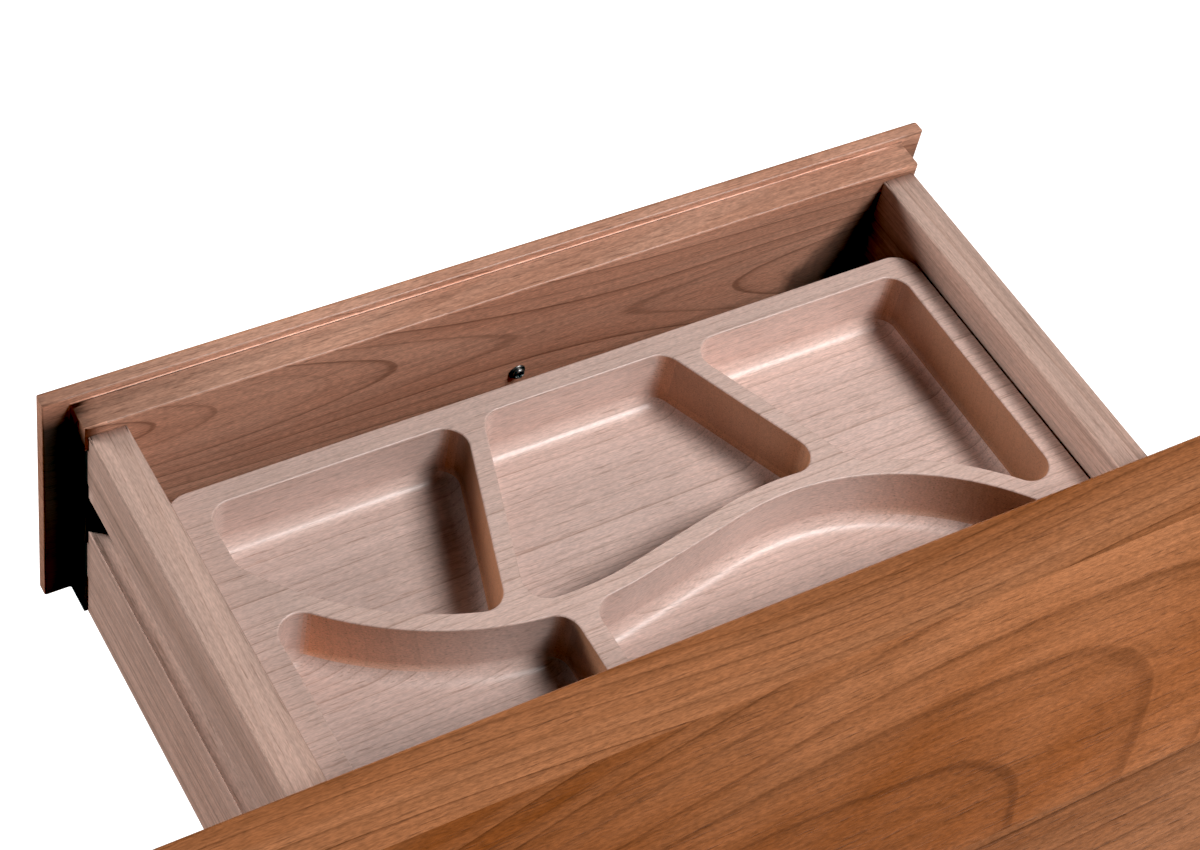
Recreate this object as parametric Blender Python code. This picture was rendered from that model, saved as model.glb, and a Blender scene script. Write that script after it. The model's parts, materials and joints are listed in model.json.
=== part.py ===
"""A Shaker dresser in cherry and maple, two short drawers over three long ones, in metres with +Z up.

The left short drawer stands open and holds a sliding tray with five routed pockets. X runs to the right as
seen from the front, Y runs from front to back, and the origin lies on the floor, in the middle of the object.
"""

import math

import bmesh
import bpy
from mathutils import Vector

# Fits: the gap between pieces that touch, and how far a cutter runs past the wood
SEAT = 0.0003
OVERSHOOT = 0.002
MERGE = 0.00001

# Short drawer fronts, and the lip that all the fronts have past their body, at each end and at the top
SHORT_FRONT_WIDTH = 0.432
SHORT_FRONT_HEIGHT = 0.127
FRONT_THICKNESS = 0.0221
LIP_THICKNESS = 0.0075
LIP_END = 0.0119
LIP_TOP = 0.0035

# Long drawer fronts
SECOND_FRONT_HEIGHT = 0.190
THIRD_FRONT_HEIGHT = 0.215
FOURTH_FRONT_HEIGHT = 0.240

# Drawer boxes: drops are measured down from the top of the front's body or of the side
REAR_GAP = 0.018
SIDE_THICKNESS = 0.0166
SIDE_DROP = 0.005
SIDE_INSET = 0.0013
BACK_THICKNESS = 0.0127
BACK_DROP = 0.006
BACK_SETBACK = 0.010
BACK_HOUSING = 0.004
BOTTOM_THICKNESS = 0.0064
BOTTOM_HOUSING = 0.006
BOTTOM_RISE = 0.010
GROOVE_DROP = 0.0385
GROOVE_HEIGHT = 0.022
GROOVE_DEPTH = 0.008

# Half-blind dovetails
SOCKET_WALL = 0.0036
TAIL_PITCH = 0.040
TAIL_SHARE = 0.55
TAIL_SLOPE = 1 / 7

# Turned knobs and their screws
KNOB_DIAMETER = 0.032
KNOB_CAP_RISE = 0.009
KNOB_CAP_FALL = 0.008
KNOB_STEM = 0.011
KNOB_NECK_DIAMETER = 0.013
KNOB_FOOT_DIAMETER = 0.018
KNOB_BORE_DEPTH = 0.014
KNOB_RISE = 0.0045
SCREW_DIAMETER = 0.004
SCREW_CLEARANCE = 0.0003
SCREW_HEAD_DIAMETER = 0.008
SCREW_HEAD_HEIGHT = 0.0028
SCREW_END_GAP = 0.002
TURNING_STEPS = 16
CAP_STEPS = 5
STEM_STEPS = 3
HEAD_STEPS = 4

# Tray and its cleats, with the tray's front edge at the middle of its top face as its own origin
TRAY_DROP = 0.0184
TRAY_FRONT_GAP = 0.0277
TRAY_SIDE_GAP = 0.0012
TRAY_LENGTH = 0.250
TRAY_FLOOR = 0.007
TRAY_CORNER = 0.012
TRAY_FRONT_RIM = 0.0103
TRAY_LEFT_RIM = 0.011
TRAY_RIGHT_RIM = 0.016
TRAY_BACK_RIM = 0.012
CLEAT_WIDTH = 0.010
CLEAT_HEIGHT = 0.012
CLEAT_END_GAP = 0.004

# Pockets of the tray, routed with a round-cornered bit
POCKET_DEPTH = 0.031
POCKET_COVE = 0.008
BIT_FLAT = 0.002
POCKET_WALL = 0.0083
POCKET_BACK_WALL = 0.010
FAN_RIGHT_X = 0.0465
FAN_RIGHT_LEAN = math.radians(17.7)
FAN_LEFT_X = -0.053
FAN_LEFT_LEAN = math.radians(-23.6)
BACK_WALL_X = 0.053

# The S-shaped wall between front and back pockets: its crest and dip as shares of the width between the
# end rims, and its distance from the tray's front edge at four places
CREST_SHARE = 0.653
DIP_SHARE = 0.341
WAVE_AT_RIGHT = 0.0483
WAVE_AT_CREST = 0.1097
WAVE_AT_DIP = 0.0941
WAVE_AT_LEFT = 0.1626
CORNER_STEPS = 4
WAVE_STEPS = 8
COVE_STEPS = 4

# Case
CASE_DEPTH = 0.455
CASE_SIDE_THICKNESS = 0.022
DIVIDER_THICKNESS = 0.038
TOP_THICKNESS = 0.022
TOP_END_OVERHANG = 0.020
TOP_FRONT_OVERHANG = 0.020
TOP_BACK_OVERHANG = 0.006
TOP_EASING = 0.002
TOP_EASING_STEPS = 2
TOP_RAIL_THICKNESS = 0.013
TOP_BACK_RAIL_DEPTH = 0.040
RAIL_THICKNESS = 0.018
RAIL_DEPTH = 0.065
RAIL_HOUSING = 0.010
PANEL_THICKNESS = 0.012
PANEL_REBATE = 0.010
PANEL_BOARDS = 7
PANEL_GROOVE = 0.003

# Feet and apron
FOOT_HEIGHT = 0.100
FOOT_LENGTH = 0.095
SIDE_ARCH_HEIGHT = 0.075
APRON_THICKNESS = 0.022
APRON_SETBACK = 0.002
APRON_STRIP = 0.045
BRACKET_FOOT = 0.045
BRACKET_CURVE = 0.075
ARCH_STEPS = 12

# Running clearances of the drawers
OPENING_CLEARANCE = 0.001
CLEARANCE_ABOVE = 0.0015
CLEARANCE_BELOW = 0.002
RUNNER_CLEARANCE = 0.001
RUNNER_SETBACK = 0.004

# How far the left drawer's face stands in front of the top's edge
LEFT_DRAWER_REACH = 0.225

# Widths across the case
SHORT_OPENING = SHORT_FRONT_WIDTH - 2 * LIP_END + 2 * OPENING_CLEARANCE
INNER_WIDTH = 2 * SHORT_OPENING + DIVIDER_THICKNESS
LONG_FRONT_WIDTH = INNER_WIDTH - 2 * OPENING_CLEARANCE + 2 * LIP_END
SHORT_CENTRE = (DIVIDER_THICKNESS + SHORT_OPENING) / 2

# Sizes of pieces that follow from others
TAIL_LENGTH = FRONT_THICKNESS - LIP_THICKNESS - SOCKET_WALL
KNOB_HEIGHT = KNOB_STEM + KNOB_CAP_FALL + KNOB_CAP_RISE
TRAY_THICKNESS = POCKET_DEPTH + TRAY_FLOOR
POCKET_CORNER = POCKET_COVE + BIT_FLAT
DRAWER_LENGTH = CASE_DEPTH - PANEL_THICKNESS - REAR_GAP

# Depths in the case, from its front plane
CLOSED_FACE = -LIP_THICKNESS - SEAT
LEFT_DRAWER_OPEN = LEFT_DRAWER_REACH + TOP_FRONT_OVERHANG + CLOSED_FACE
PANEL_FACE = CASE_DEPTH - PANEL_THICKNESS
FOREMOST = CLOSED_FACE - LEFT_DRAWER_OPEN - SEAT - KNOB_HEIGHT
REARMOST = CASE_DEPTH + TOP_BACK_OVERHANG


def stack_heights():
    """The underside of each rail and the lip top of each row of drawers, from the bottom row up."""
    rails = [FOOT_HEIGHT]
    lips = []
    for height in (FOURTH_FRONT_HEIGHT, THIRD_FRONT_HEIGHT, SECOND_FRONT_HEIGHT, SHORT_FRONT_HEIGHT):
        lips.append(rails[-1] + RAIL_THICKNESS + CLEARANCE_BELOW + height)
        rails.append(lips[-1] - LIP_TOP + CLEARANCE_ABOVE)
    return rails, lips


RAIL_HEIGHTS, LIP_HEIGHTS = stack_heights()
SIDE_HEIGHT = RAIL_HEIGHTS[-1] + TOP_RAIL_THICKNESS

PLACES = {
    "X": lambda first, second, along: (along, first, second),
    "Y": lambda first, second, along: (first, along, second),
    "Z": lambda first, second, along: (first, second, along),
}


def clear_scene():
    for old in list(bpy.data.objects):
        bpy.data.objects.remove(old, do_unlink=True)


def material(name, colour, roughness, metallic=0.0):
    made = bpy.data.materials.new(name)
    made.use_nodes = True
    shader = made.node_tree.nodes["Principled BSDF"]
    shader.inputs["Base Color"].default_value = (*colour, 1.0)
    shader.inputs["Roughness"].default_value = roughness
    shader.inputs["Metallic"].default_value = metallic
    return made


def link(made, parent, location):
    made.parent = parent
    made.location = location
    bpy.context.scene.collection.objects.link(made)
    return made


def empty(name, location, parent=None):
    return link(bpy.data.objects.new(name, None), parent, location)


def solid(name, mesh, finish, parent, location=(0, 0, 0)):
    mesh.name = name
    mesh.materials.append(finish)
    return link(bpy.data.objects.new(name, mesh), parent, location)


def cut(target, name, mesh):
    """Cuts a mesh, given in the target's own frame, out of the target."""
    cutter = link(bpy.data.objects.new(f"{target.name}_{name}", mesh), target, (0, 0, 0))
    cutter.hide_render = True
    cutter.display_type = "WIRE"
    boolean = target.modifiers.new(name, "BOOLEAN")
    boolean.operation = "DIFFERENCE"
    boolean.solver = "EXACT"
    boolean.object = cutter


def mesh_of(work):
    bmesh.ops.recalc_face_normals(work, faces=work.faces)
    mesh = bpy.data.meshes.new("mesh")
    work.to_mesh(mesh)
    work.free()
    return mesh


def bridge(work, ring, following):
    for i, point in enumerate(ring):
        j = (i + 1) % len(ring)
        work.faces.new((point, ring[j], following[j], following[i]))


def prisms(outlines, axis, start, stop):
    """One closed prism for each outline, which lies across the axis and holds the other two axes in order."""
    work = bmesh.new()
    for outline in outlines:
        near = [work.verts.new(PLACES[axis](a, b, start)) for a, b in outline]
        far = [work.verts.new(PLACES[axis](a, b, stop)) for a, b in outline]
        work.faces.new(near)
        work.faces.new(far)
        bridge(work, near, far)
    return mesh_of(work)


def rectangle(first, second):
    return [
        (first[0], second[0]),
        (first[1], second[0]),
        (first[1], second[1]),
        (first[0], second[1]),
    ]


def block(x, y, z):
    return prisms([rectangle(x, y)], "Z", *z)


def board(name, x, y, z, finish, parent):
    """A plain board between the given limits, with its origin at its lowest corner."""
    mesh = block((0, x[1] - x[0]), (0, y[1] - y[0]), (0, z[1] - z[0]))
    return solid(name, mesh, finish, parent, (x[0], y[0], z[0]))


def turned(name, profile, finish, parent, location, tilt):
    """A piece turned about its own Z from (radius, height) points, the top one first, and tilted about X."""
    work = bmesh.new()
    points = [work.verts.new((radius, 0, height)) for radius, height in profile]
    for upper, lower in zip(points, points[1:]):
        work.edges.new((upper, lower))
    mesh = bpy.data.meshes.new(name)
    work.to_mesh(mesh)
    work.free()
    made = solid(name, mesh, finish, parent, location)
    made.rotation_euler = (tilt, 0, 0)
    screw = made.modifiers.new("turning", "SCREW")
    screw.steps = TURNING_STEPS
    screw.render_steps = TURNING_STEPS
    screw.use_merge_vertices = True
    screw.merge_threshold = MERGE
    screw.use_smooth_shade = True
    return made


def quarter(start, stop, steps, bulge_first):
    """Points of a quarter ellipse after start and up to stop, which leaves along the first or second axis."""
    points = []
    for i in range(1, steps + 1):
        angle = math.pi / 2 * i / steps
        lead, lag = math.sin(angle), 1 - math.cos(angle)
        first, second = (lead, lag) if bulge_first else (lag, lead)
        points.append((start[0] + (stop[0] - start[0]) * first, start[1] + (stop[1] - start[1]) * second))
    return points


def knob(name, x, z, finish, frame):
    """A mushroom knob: domed cap, waisted neck, flared foot and the blind bore that takes its screw."""
    rim = KNOB_DIAMETER / 2
    neck = KNOB_NECK_DIAMETER / 2
    foot = KNOB_FOOT_DIAMETER / 2
    bore = SCREW_DIAMETER / 2 + SCREW_CLEARANCE
    rim_height = KNOB_STEM + KNOB_CAP_FALL
    profile = [(0, KNOB_HEIGHT)]
    profile += quarter((0, KNOB_HEIGHT), (rim, rim_height), CAP_STEPS, True)
    profile += quarter((rim, rim_height), (neck, KNOB_STEM), STEM_STEPS, False)
    profile += quarter((neck, KNOB_STEM), (foot, 0), STEM_STEPS, False)
    profile += [(bore, 0), (bore, KNOB_BORE_DEPTH), (0, KNOB_BORE_DEPTH)]
    turned(name, profile, finish, frame, (x, -SEAT, z), math.pi / 2)


def knob_screw(name, x, z, finish, frame):
    """The round-headed screw that holds a knob from inside the drawer."""
    head = SCREW_HEAD_DIAMETER / 2
    shank = SCREW_DIAMETER / 2
    length = FRONT_THICKNESS + 2 * SEAT + KNOB_BORE_DEPTH - SCREW_END_GAP
    profile = [(0, SCREW_HEAD_HEIGHT)]
    profile += quarter((0, SCREW_HEAD_HEIGHT), (head, 0), HEAD_STEPS, True)
    profile += [(shank, 0), (shank, -length), (0, -length)]
    turned(name, profile, finish, frame, (x, FRONT_THICKNESS + SEAT, z), -math.pi / 2)


def drawer_sizes(width, height):
    """The limits of a drawer's pieces, from the middle of the top front edge of its lip."""
    body = width / 2 - LIP_END
    outer = body - SIDE_INSET
    side_top = -LIP_TOP - SIDE_DROP
    groove_top = side_top - GROOVE_DROP
    rear = LIP_THICKNESS + DRAWER_LENGTH
    panel_low = -height + BOTTOM_RISE
    return {
        "width": width,
        "height": height,
        "body": body,
        "outer": outer,
        "inner": outer - SIDE_THICKNESS,
        "side_top": side_top,
        "groove_top": groove_top,
        "groove_low": groove_top - GROOVE_HEIGHT,
        "rear": rear,
        "back_face": rear - BACK_SETBACK - BACK_THICKNESS,
        "panel_low": panel_low,
        "panel_high": panel_low + BOTTOM_THICKNESS,
        "knob_height": -height / 2 + KNOB_RISE,
    }


def tails(size):
    """(middle, half width at the shoulder) of each tail from the top down, clear of the runner groove."""
    found = []
    strips = ((size["side_top"], size["groove_top"]), (size["groove_low"], size["panel_high"]))
    for high, low in strips:
        count = max(1, round((high - low) / TAIL_PITCH))
        pitch = (high - low) / count
        for i in range(count):
            found.append((high - (i + 0.5) * pitch, pitch * TAIL_SHARE / 2))
    return found


def drawer_side(name, size, hand, finish, frame):
    """A drawer side: dovetailed at the front, grooved for its runner and the bottom, housed for the back."""
    shoulder = FRONT_THICKNESS + SEAT
    tip = FRONT_THICKNESS - TAIL_LENGTH
    spread = (shoulder - tip) * TAIL_SLOPE
    outline = [
        (size["rear"], -size["height"]),
        (size["rear"], size["side_top"]),
        (shoulder, size["side_top"]),
    ]
    for middle, half in tails(size):
        outline += [
            (shoulder, middle + half),
            (tip, middle + half + spread),
            (tip, middle - half - spread),
            (shoulder, middle - half),
        ]
    outline.append((shoulder, -size["height"]))
    made = solid(name, prisms([outline], "X", hand * size["inner"], hand * size["outer"]), finish, frame)

    def span(first, second):
        return sorted((hand * first, hand * second))

    length = (tip - OVERSHOOT, size["rear"] + OVERSHOOT)
    runner = span(size["outer"] - GROOVE_DEPTH, size["outer"] + OVERSHOOT)
    panel = span(size["inner"] - OVERSHOOT, size["inner"] + BOTTOM_HOUSING)
    back = span(size["inner"] - OVERSHOOT, size["inner"] + BACK_HOUSING)
    back_depth = (size["back_face"] - SEAT, size["back_face"] + BACK_THICKNESS + SEAT)
    cut(made, "runner_groove", block(runner, length, (size["groove_low"], size["groove_top"])))
    cut(made, "bottom_groove", block(panel, length, (size["panel_low"] - SEAT, size["panel_high"] + SEAT)))
    cut(made, "back_housing", block(back, back_depth, (size["panel_high"], size["side_top"] + OVERSHOOT)))


def drawer_front(name, size, knob_places, finish, frame):
    """A lipped front: rebated at its ends and top, socketed for the tails and grooved for the bottom."""
    half = size["width"] / 2
    low = -size["height"]
    made = solid(name, block((-half, half), (0, FRONT_THICKNESS), (low, 0)), finish, frame)
    beyond = half + OVERSHOOT
    rebate = [
        (-beyond, low - OVERSHOOT),
        (-size["body"], low - OVERSHOOT),
        (-size["body"], -LIP_TOP),
        (size["body"], -LIP_TOP),
        (size["body"], low - OVERSHOOT),
        (beyond, low - OVERSHOOT),
        (beyond, OVERSHOOT),
        (-beyond, OVERSHOOT),
    ]
    back_plane = FRONT_THICKNESS + OVERSHOOT
    cut(made, "rebate", prisms([rebate], "Y", LIP_THICKNESS, back_plane))

    tip = FRONT_THICKNESS - TAIL_LENGTH - SEAT
    shoulder = FRONT_THICKNESS + SEAT
    sockets = []
    for middle, half_tail in tails(size):
        deep = half_tail + SEAT + (shoulder - tip) * TAIL_SLOPE
        mouth = half_tail + SEAT + (shoulder - back_plane) * TAIL_SLOPE
        sockets.append([
            (tip, middle - deep),
            (tip, middle + deep),
            (back_plane, middle + mouth),
            (back_plane, middle - mouth),
        ])
    for end, hand in (("right", 1), ("left", -1)):
        inside = hand * (size["inner"] - SEAT)
        outside = hand * (size["body"] + OVERSHOOT)
        cut(made, f"{end}_sockets", prisms(sockets, "X", inside, outside))

    reach = size["inner"] + BOTTOM_HOUSING
    groove = (size["panel_low"] - SEAT, size["panel_high"] + SEAT)
    cut(made, "bottom_groove", block((-reach, reach), (FRONT_THICKNESS - BOTTOM_HOUSING, back_plane), groove))

    radius = SCREW_DIAMETER / 2 + SCREW_CLEARANCE
    holes = []
    for x in knob_places:
        turn = [2 * math.pi * i / TURNING_STEPS for i in range(TURNING_STEPS)]
        holes.append([(x + radius * math.cos(a), size["knob_height"] + radius * math.sin(a)) for a in turn])
    cut(made, "screw_holes", prisms(holes, "Y", -OVERSHOOT, back_plane))


def drawer(name, width, height, place, knobs, finishes, root):
    """A whole drawer but for its knob screws. It slides along Y, so its frame lies on its middle line."""
    frame = empty(f"{name}_frame", place, root)
    size = drawer_sizes(width, height)
    drawer_front(f"{name}_front", size, knobs.values(), finishes["cherry"], frame)
    drawer_side(f"{name}_side_left", size, -1, finishes["maple"], frame)
    drawer_side(f"{name}_side_right", size, 1, finishes["maple"], frame)
    back = size["inner"] + BACK_HOUSING - SEAT
    board(
        f"{name}_back",
        (-back, back),
        (size["back_face"], size["back_face"] + BACK_THICKNESS),
        (size["panel_high"] + SEAT, size["side_top"] - BACK_DROP),
        finishes["maple"],
        frame,
    )
    reach = size["inner"] + BOTTOM_HOUSING - SEAT
    board(
        f"{name}_bottom",
        (-reach, reach),
        (FRONT_THICKNESS - BOTTOM_HOUSING + SEAT, size["rear"]),
        (size["panel_low"], size["panel_high"]),
        finishes["maple"],
        frame,
    )
    for label, x in knobs.items():
        knob(f"{name}_{label}", x, size["knob_height"], finishes["cherry"], frame)
    return frame, size


def runners(name, size, place, opening, finish, root):
    """The two strips that carry a drawer in the grooves of its sides."""
    outer = opening / 2 - SEAT
    inner = size["outer"] - GROOVE_DEPTH + RUNNER_CLEARANCE
    start = FRONT_THICKNESS - LIP_THICKNESS + RUNNER_SETBACK
    height = (place[2] + size["groove_low"] + RUNNER_CLEARANCE, place[2] + size["groove_top"] - SEAT)
    length = (start, PANEL_FACE - SEAT)
    board(f"runner_{name}_left", (place[0] - outer, place[0] - inner), length, height, finish, root)
    board(f"runner_{name}_right", (place[0] + inner, place[0] + outer), length, height, finish, root)


class Straight:
    """A straight rim of a pocket, with the normal that points into the pocket."""

    def __init__(self, point, normal):
        self.normal = normal.normalized()
        self.level = self.normal.dot(point)

    def outward(self, _):
        return -self.normal

    def between(self, start, stop, steps):
        return []


class Round:
    """A round rim of a pocket. The pocket lies outside the circle (side 1) or inside it (side -1)."""

    def __init__(self, centre, radius, side, half):
        self.centre = centre
        self.radius = radius
        self.side = side
        self.half = half

    def outward(self, point):
        return (self.centre - point).normalized() * self.side

    def between(self, start, stop, steps):
        """Points on the circle about the same centre between two of its points, the short way round."""
        first, last = start - self.centre, stop - self.centre
        sweep = first.angle_signed(last)
        points = []
        for i in range(1, steps):
            turn = sweep * i / steps
            cos, sin = math.cos(turn), -math.sin(turn)
            spin = Vector((first.x * cos - first.y * sin, first.x * sin + first.y * cos))
            points.append(self.centre + spin)
        return points


def corner_centre(first, second, radius):
    """The centre of the fillet between two rims, the same for every level of the pocket."""
    if isinstance(first, Round):
        first, second = second, first
    level = first.level + radius
    along = Vector((-first.normal.y, first.normal.x))
    if isinstance(second, Round):
        height = level - first.normal.dot(second.centre)
        reach = math.sqrt((second.radius + second.side * radius) ** 2 - height**2)
        foot = second.centre + first.normal * height
        return foot + along * math.copysign(reach, along.y * second.half)
    other = second.level + radius
    across = along.dot(second.normal)
    foot = first.normal * level
    return foot + along * (other - second.normal.dot(foot)) / across


def pocket_outline(rims, joins, inset):
    """A pocket's rim, anticlockwise from above, moved in by inset. Joins are the smooth meeting points."""
    corners = []
    for i, rim in enumerate(rims):
        following = rims[(i + 1) % len(rims)]
        if i in joins:
            corners.append([joins[i] - rim.outward(joins[i]) * inset])
            continue
        centre = corner_centre(rim, following, POCKET_CORNER)
        start = rim.outward(centre)
        sweep = -start.angle_signed(following.outward(centre))
        arc = []
        for step in range(CORNER_STEPS + 1):
            turn = math.atan2(start.y, start.x) + sweep * step / CORNER_STEPS
            arc.append(centre + Vector((math.cos(turn), math.sin(turn))) * (POCKET_CORNER - inset))
        corners.append(arc)
    points = []
    for i, rim in enumerate(rims):
        points += rim.between(corners[i - 1][-1], corners[i][0], WAVE_STEPS)
        points += corners[i]
    return points


def pocket_cutter(rims, joins):
    """The space of one pocket: steep walls, a coved foot and a flat floor."""
    levels = [(0, OVERSHOOT), (0, POCKET_COVE - POCKET_DEPTH)]
    for step in range(1, COVE_STEPS + 1):
        angle = math.pi / 2 * step / COVE_STEPS
        inset = POCKET_COVE * (1 - math.cos(angle))
        levels.append((inset, POCKET_COVE - POCKET_DEPTH - POCKET_COVE * math.sin(angle)))
    work = bmesh.new()
    rings = []
    for inset, height in levels:
        outline = pocket_outline(rims, joins, inset)
        rings.append([work.verts.new((point.x, point.y, height)) for point in outline])
    work.faces.new(rings[0])
    work.faces.new(rings[-1])
    for ring, following in zip(rings, rings[1:]):
        bridge(work, ring, following)
    return mesh_of(work)


def leaning_wall(x, lean):
    """The two rims of a fanned wall, on its right and on its left."""
    point = Vector((x, TRAY_FRONT_RIM))
    normal = Vector((math.cos(lean), -math.sin(lean)))
    half = normal * POCKET_WALL / 2
    return Straight(point + half, normal), Straight(point - half, -normal)


def bow_radius(reach, sagitta):
    """The radius of an arc that falls by sagitta over reach, from where it is level."""
    return (reach**2 + sagitta**2) / (2 * sagitta)


def tray_pockets(half_width):
    """The five pockets, each as its rims in order and its smooth joins."""
    half = POCKET_WALL / 2
    right_x = half_width - TRAY_RIGHT_RIM
    left_x = TRAY_LEFT_RIM - half_width
    crest_x = left_x + CREST_SHARE * (right_x - left_x)
    dip_x = left_x + DIP_SHARE * (right_x - left_x)
    crest_radius = bow_radius(right_x - crest_x, WAVE_AT_CREST - WAVE_AT_RIGHT)
    dip_radius = bow_radius(dip_x - left_x, WAVE_AT_LEFT - WAVE_AT_DIP)
    crest = Vector((crest_x, WAVE_AT_CREST - crest_radius))
    dip = Vector((dip_x, WAVE_AT_DIP + dip_radius))
    heading = math.atan2(dip.y - crest.y, dip.x - crest.x)
    heading -= math.acos((crest_radius + dip_radius) / (dip - crest).length)
    rise = Vector((math.cos(heading), math.sin(heading)))
    leave = crest + rise * crest_radius
    arrive = dip - rise * dip_radius

    front = Straight(Vector((0, TRAY_FRONT_RIM)), Vector((0, 1)))
    back = Straight(Vector((0, TRAY_LENGTH - TRAY_BACK_RIM)), Vector((0, -1)))
    right = Straight(Vector((right_x, 0)), Vector((-1, 0)))
    left = Straight(Vector((left_x, 0)), Vector((1, 0)))
    right_fan = leaning_wall(FAN_RIGHT_X, FAN_RIGHT_LEAN)
    left_fan = leaning_wall(FAN_LEFT_X, FAN_LEFT_LEAN)
    back_wall_right = Straight(Vector((BACK_WALL_X + POCKET_BACK_WALL / 2, 0)), Vector((1, 0)))
    back_wall_left = Straight(Vector((BACK_WALL_X - POCKET_BACK_WALL / 2, 0)), Vector((-1, 0)))

    crest_inside = Round(crest, crest_radius - half, -1, 1)
    crest_outside = Round(crest, crest_radius + half, 1, 1)
    dip_inside = Round(dip, dip_radius - half, -1, -1)
    dip_outside = Round(dip, dip_radius + half, 1, -1)
    slope_front = Straight(leave - rise * half, -rise)
    slope_back = Straight(leave + rise * half, rise)
    return {
        "front_right": ([front, right, crest_inside, right_fan[0]], {}),
        "front_middle": (
            [front, right_fan[1], crest_inside, slope_front, dip_outside, left_fan[0]],
            {2: leave - rise * half, 3: arrive - rise * half},
        ),
        "front_left": ([front, left_fan[1], dip_outside, left], {}),
        "back_right": ([crest_outside, right, back, back_wall_right], {}),
        "back_left": (
            [dip_inside, slope_back, crest_outside, back_wall_left, back, left],
            {0: arrive + rise * half, 1: leave + rise * half},
        ),
    }


def tray(size, finish, frame):
    """The fitted tray, in a frame of its own because it slides in the drawer."""
    half_width = size["inner"] - TRAY_SIDE_GAP
    place = (0, FRONT_THICKNESS + TRAY_FRONT_GAP, size["side_top"] - TRAY_DROP)
    own = empty("tray_frame", place, frame)
    outline = []
    corners = ((1, 1, 0), (-1, 1, 1), (-1, 0, 2), (1, 0, 3))
    for hand, far, quadrant in corners:
        centre_x = hand * (half_width - TRAY_CORNER)
        centre_y = TRAY_LENGTH - TRAY_CORNER if far else TRAY_CORNER
        for step in range(CORNER_STEPS + 1):
            angle = math.pi / 2 * (quadrant + step / CORNER_STEPS)
            x = centre_x + TRAY_CORNER * math.cos(angle)
            y = centre_y + TRAY_CORNER * math.sin(angle)
            outline.append((x, y))
    made = solid("tray", prisms([outline], "Z", -TRAY_THICKNESS, 0), finish, own)
    for name, (rims, joins) in tray_pockets(half_width).items():
        cut(made, f"{name}_pocket", pocket_cutter(rims, joins))


def tray_cleats(size, finish, frame):
    """The two strips on the drawer's sides that carry the tray."""
    top = size["side_top"] - TRAY_DROP - TRAY_THICKNESS - SEAT
    length = (FRONT_THICKNESS + CLEAT_END_GAP, size["back_face"] - CLEAT_END_GAP)
    outer = size["inner"] - SEAT
    inner = outer - CLEAT_WIDTH
    height = (top - CLEAT_HEIGHT, top)
    board("tray_cleat_left", (-outer, -inner), length, height, finish, frame)
    board("tray_cleat_right", (inner, outer), length, height, finish, frame)


def case_side(name, hand, finish, root):
    """A solid side down to the floor: arched between its feet, housed for the rails, rebated for the back."""
    middle = CASE_DEPTH / 2
    reach = middle - FOOT_LENGTH
    outline = [(0, SIDE_HEIGHT), (0, 0)]
    for step in range(ARCH_STEPS + 1):
        angle = math.pi * step / ARCH_STEPS
        outline.append((middle - reach * math.cos(angle), SIDE_ARCH_HEIGHT * math.sin(angle)))
    outline += [(CASE_DEPTH, 0), (CASE_DEPTH, SIDE_HEIGHT)]
    inner = INNER_WIDTH / 2
    across = (hand * inner, hand * (inner + CASE_SIDE_THICKNESS))
    made = solid(name, prisms([outline], "X", *across), finish, root)

    housing = sorted((hand * (inner - OVERSHOOT), hand * (inner + RAIL_HOUSING)))
    for number, low in enumerate(RAIL_HEIGHTS):
        high = SIDE_HEIGHT + OVERSHOOT if low == RAIL_HEIGHTS[-1] else low + RAIL_THICKNESS + SEAT
        depth = (-OVERSHOOT, RAIL_DEPTH + SEAT)
        cut(made, f"rail_housing_{number}", block(housing, depth, (low - SEAT, high)))
    rebate = sorted((hand * (inner - OVERSHOOT), hand * (inner + PANEL_REBATE)))
    depth = (PANEL_FACE - SEAT, CASE_DEPTH + OVERSHOOT)
    cut(made, "back_rebate", block(rebate, depth, (FOOT_HEIGHT - SEAT, SIDE_HEIGHT + OVERSHOOT)))


def back_panel(finish, root):
    """The back, with a V groove along each joint of its upright boards."""
    half = INNER_WIDTH / 2 + PANEL_REBATE - SEAT
    pitch = 2 * half / PANEL_BOARDS
    outline = [(-half, PANEL_FACE), (half, PANEL_FACE), (half, CASE_DEPTH)]
    for joint in range(PANEL_BOARDS - 1, 0, -1):
        x = -half + joint * pitch
        outline += [
            (x + PANEL_GROOVE, CASE_DEPTH),
            (x, CASE_DEPTH - PANEL_GROOVE),
            (x - PANEL_GROOVE, CASE_DEPTH),
        ]
    outline.append((-half, CASE_DEPTH))
    solid("back_panel", prisms([outline], "Z", FOOT_HEIGHT, SIDE_HEIGHT), finish, root)


def apron(finish, root):
    """The front apron, with a bracket foot at each end."""
    half = INNER_WIDTH / 2 - SEAT
    top = FOOT_HEIGHT - SEAT
    strip = top - APRON_STRIP
    foot = half - BRACKET_FOOT
    right = [(foot, 0)] + quarter((foot, 0), (foot - BRACKET_CURVE, strip), ARCH_STEPS // 2, False)
    left = [(-x, z) for x, z in reversed(right)]
    outline = [(half, top), (half, 0)] + right + left + [(-half, 0), (-half, top)]
    depth = (APRON_SETBACK, APRON_SETBACK + APRON_THICKNESS)
    solid("apron", prisms([outline], "Y", *depth), finish, root)


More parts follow.
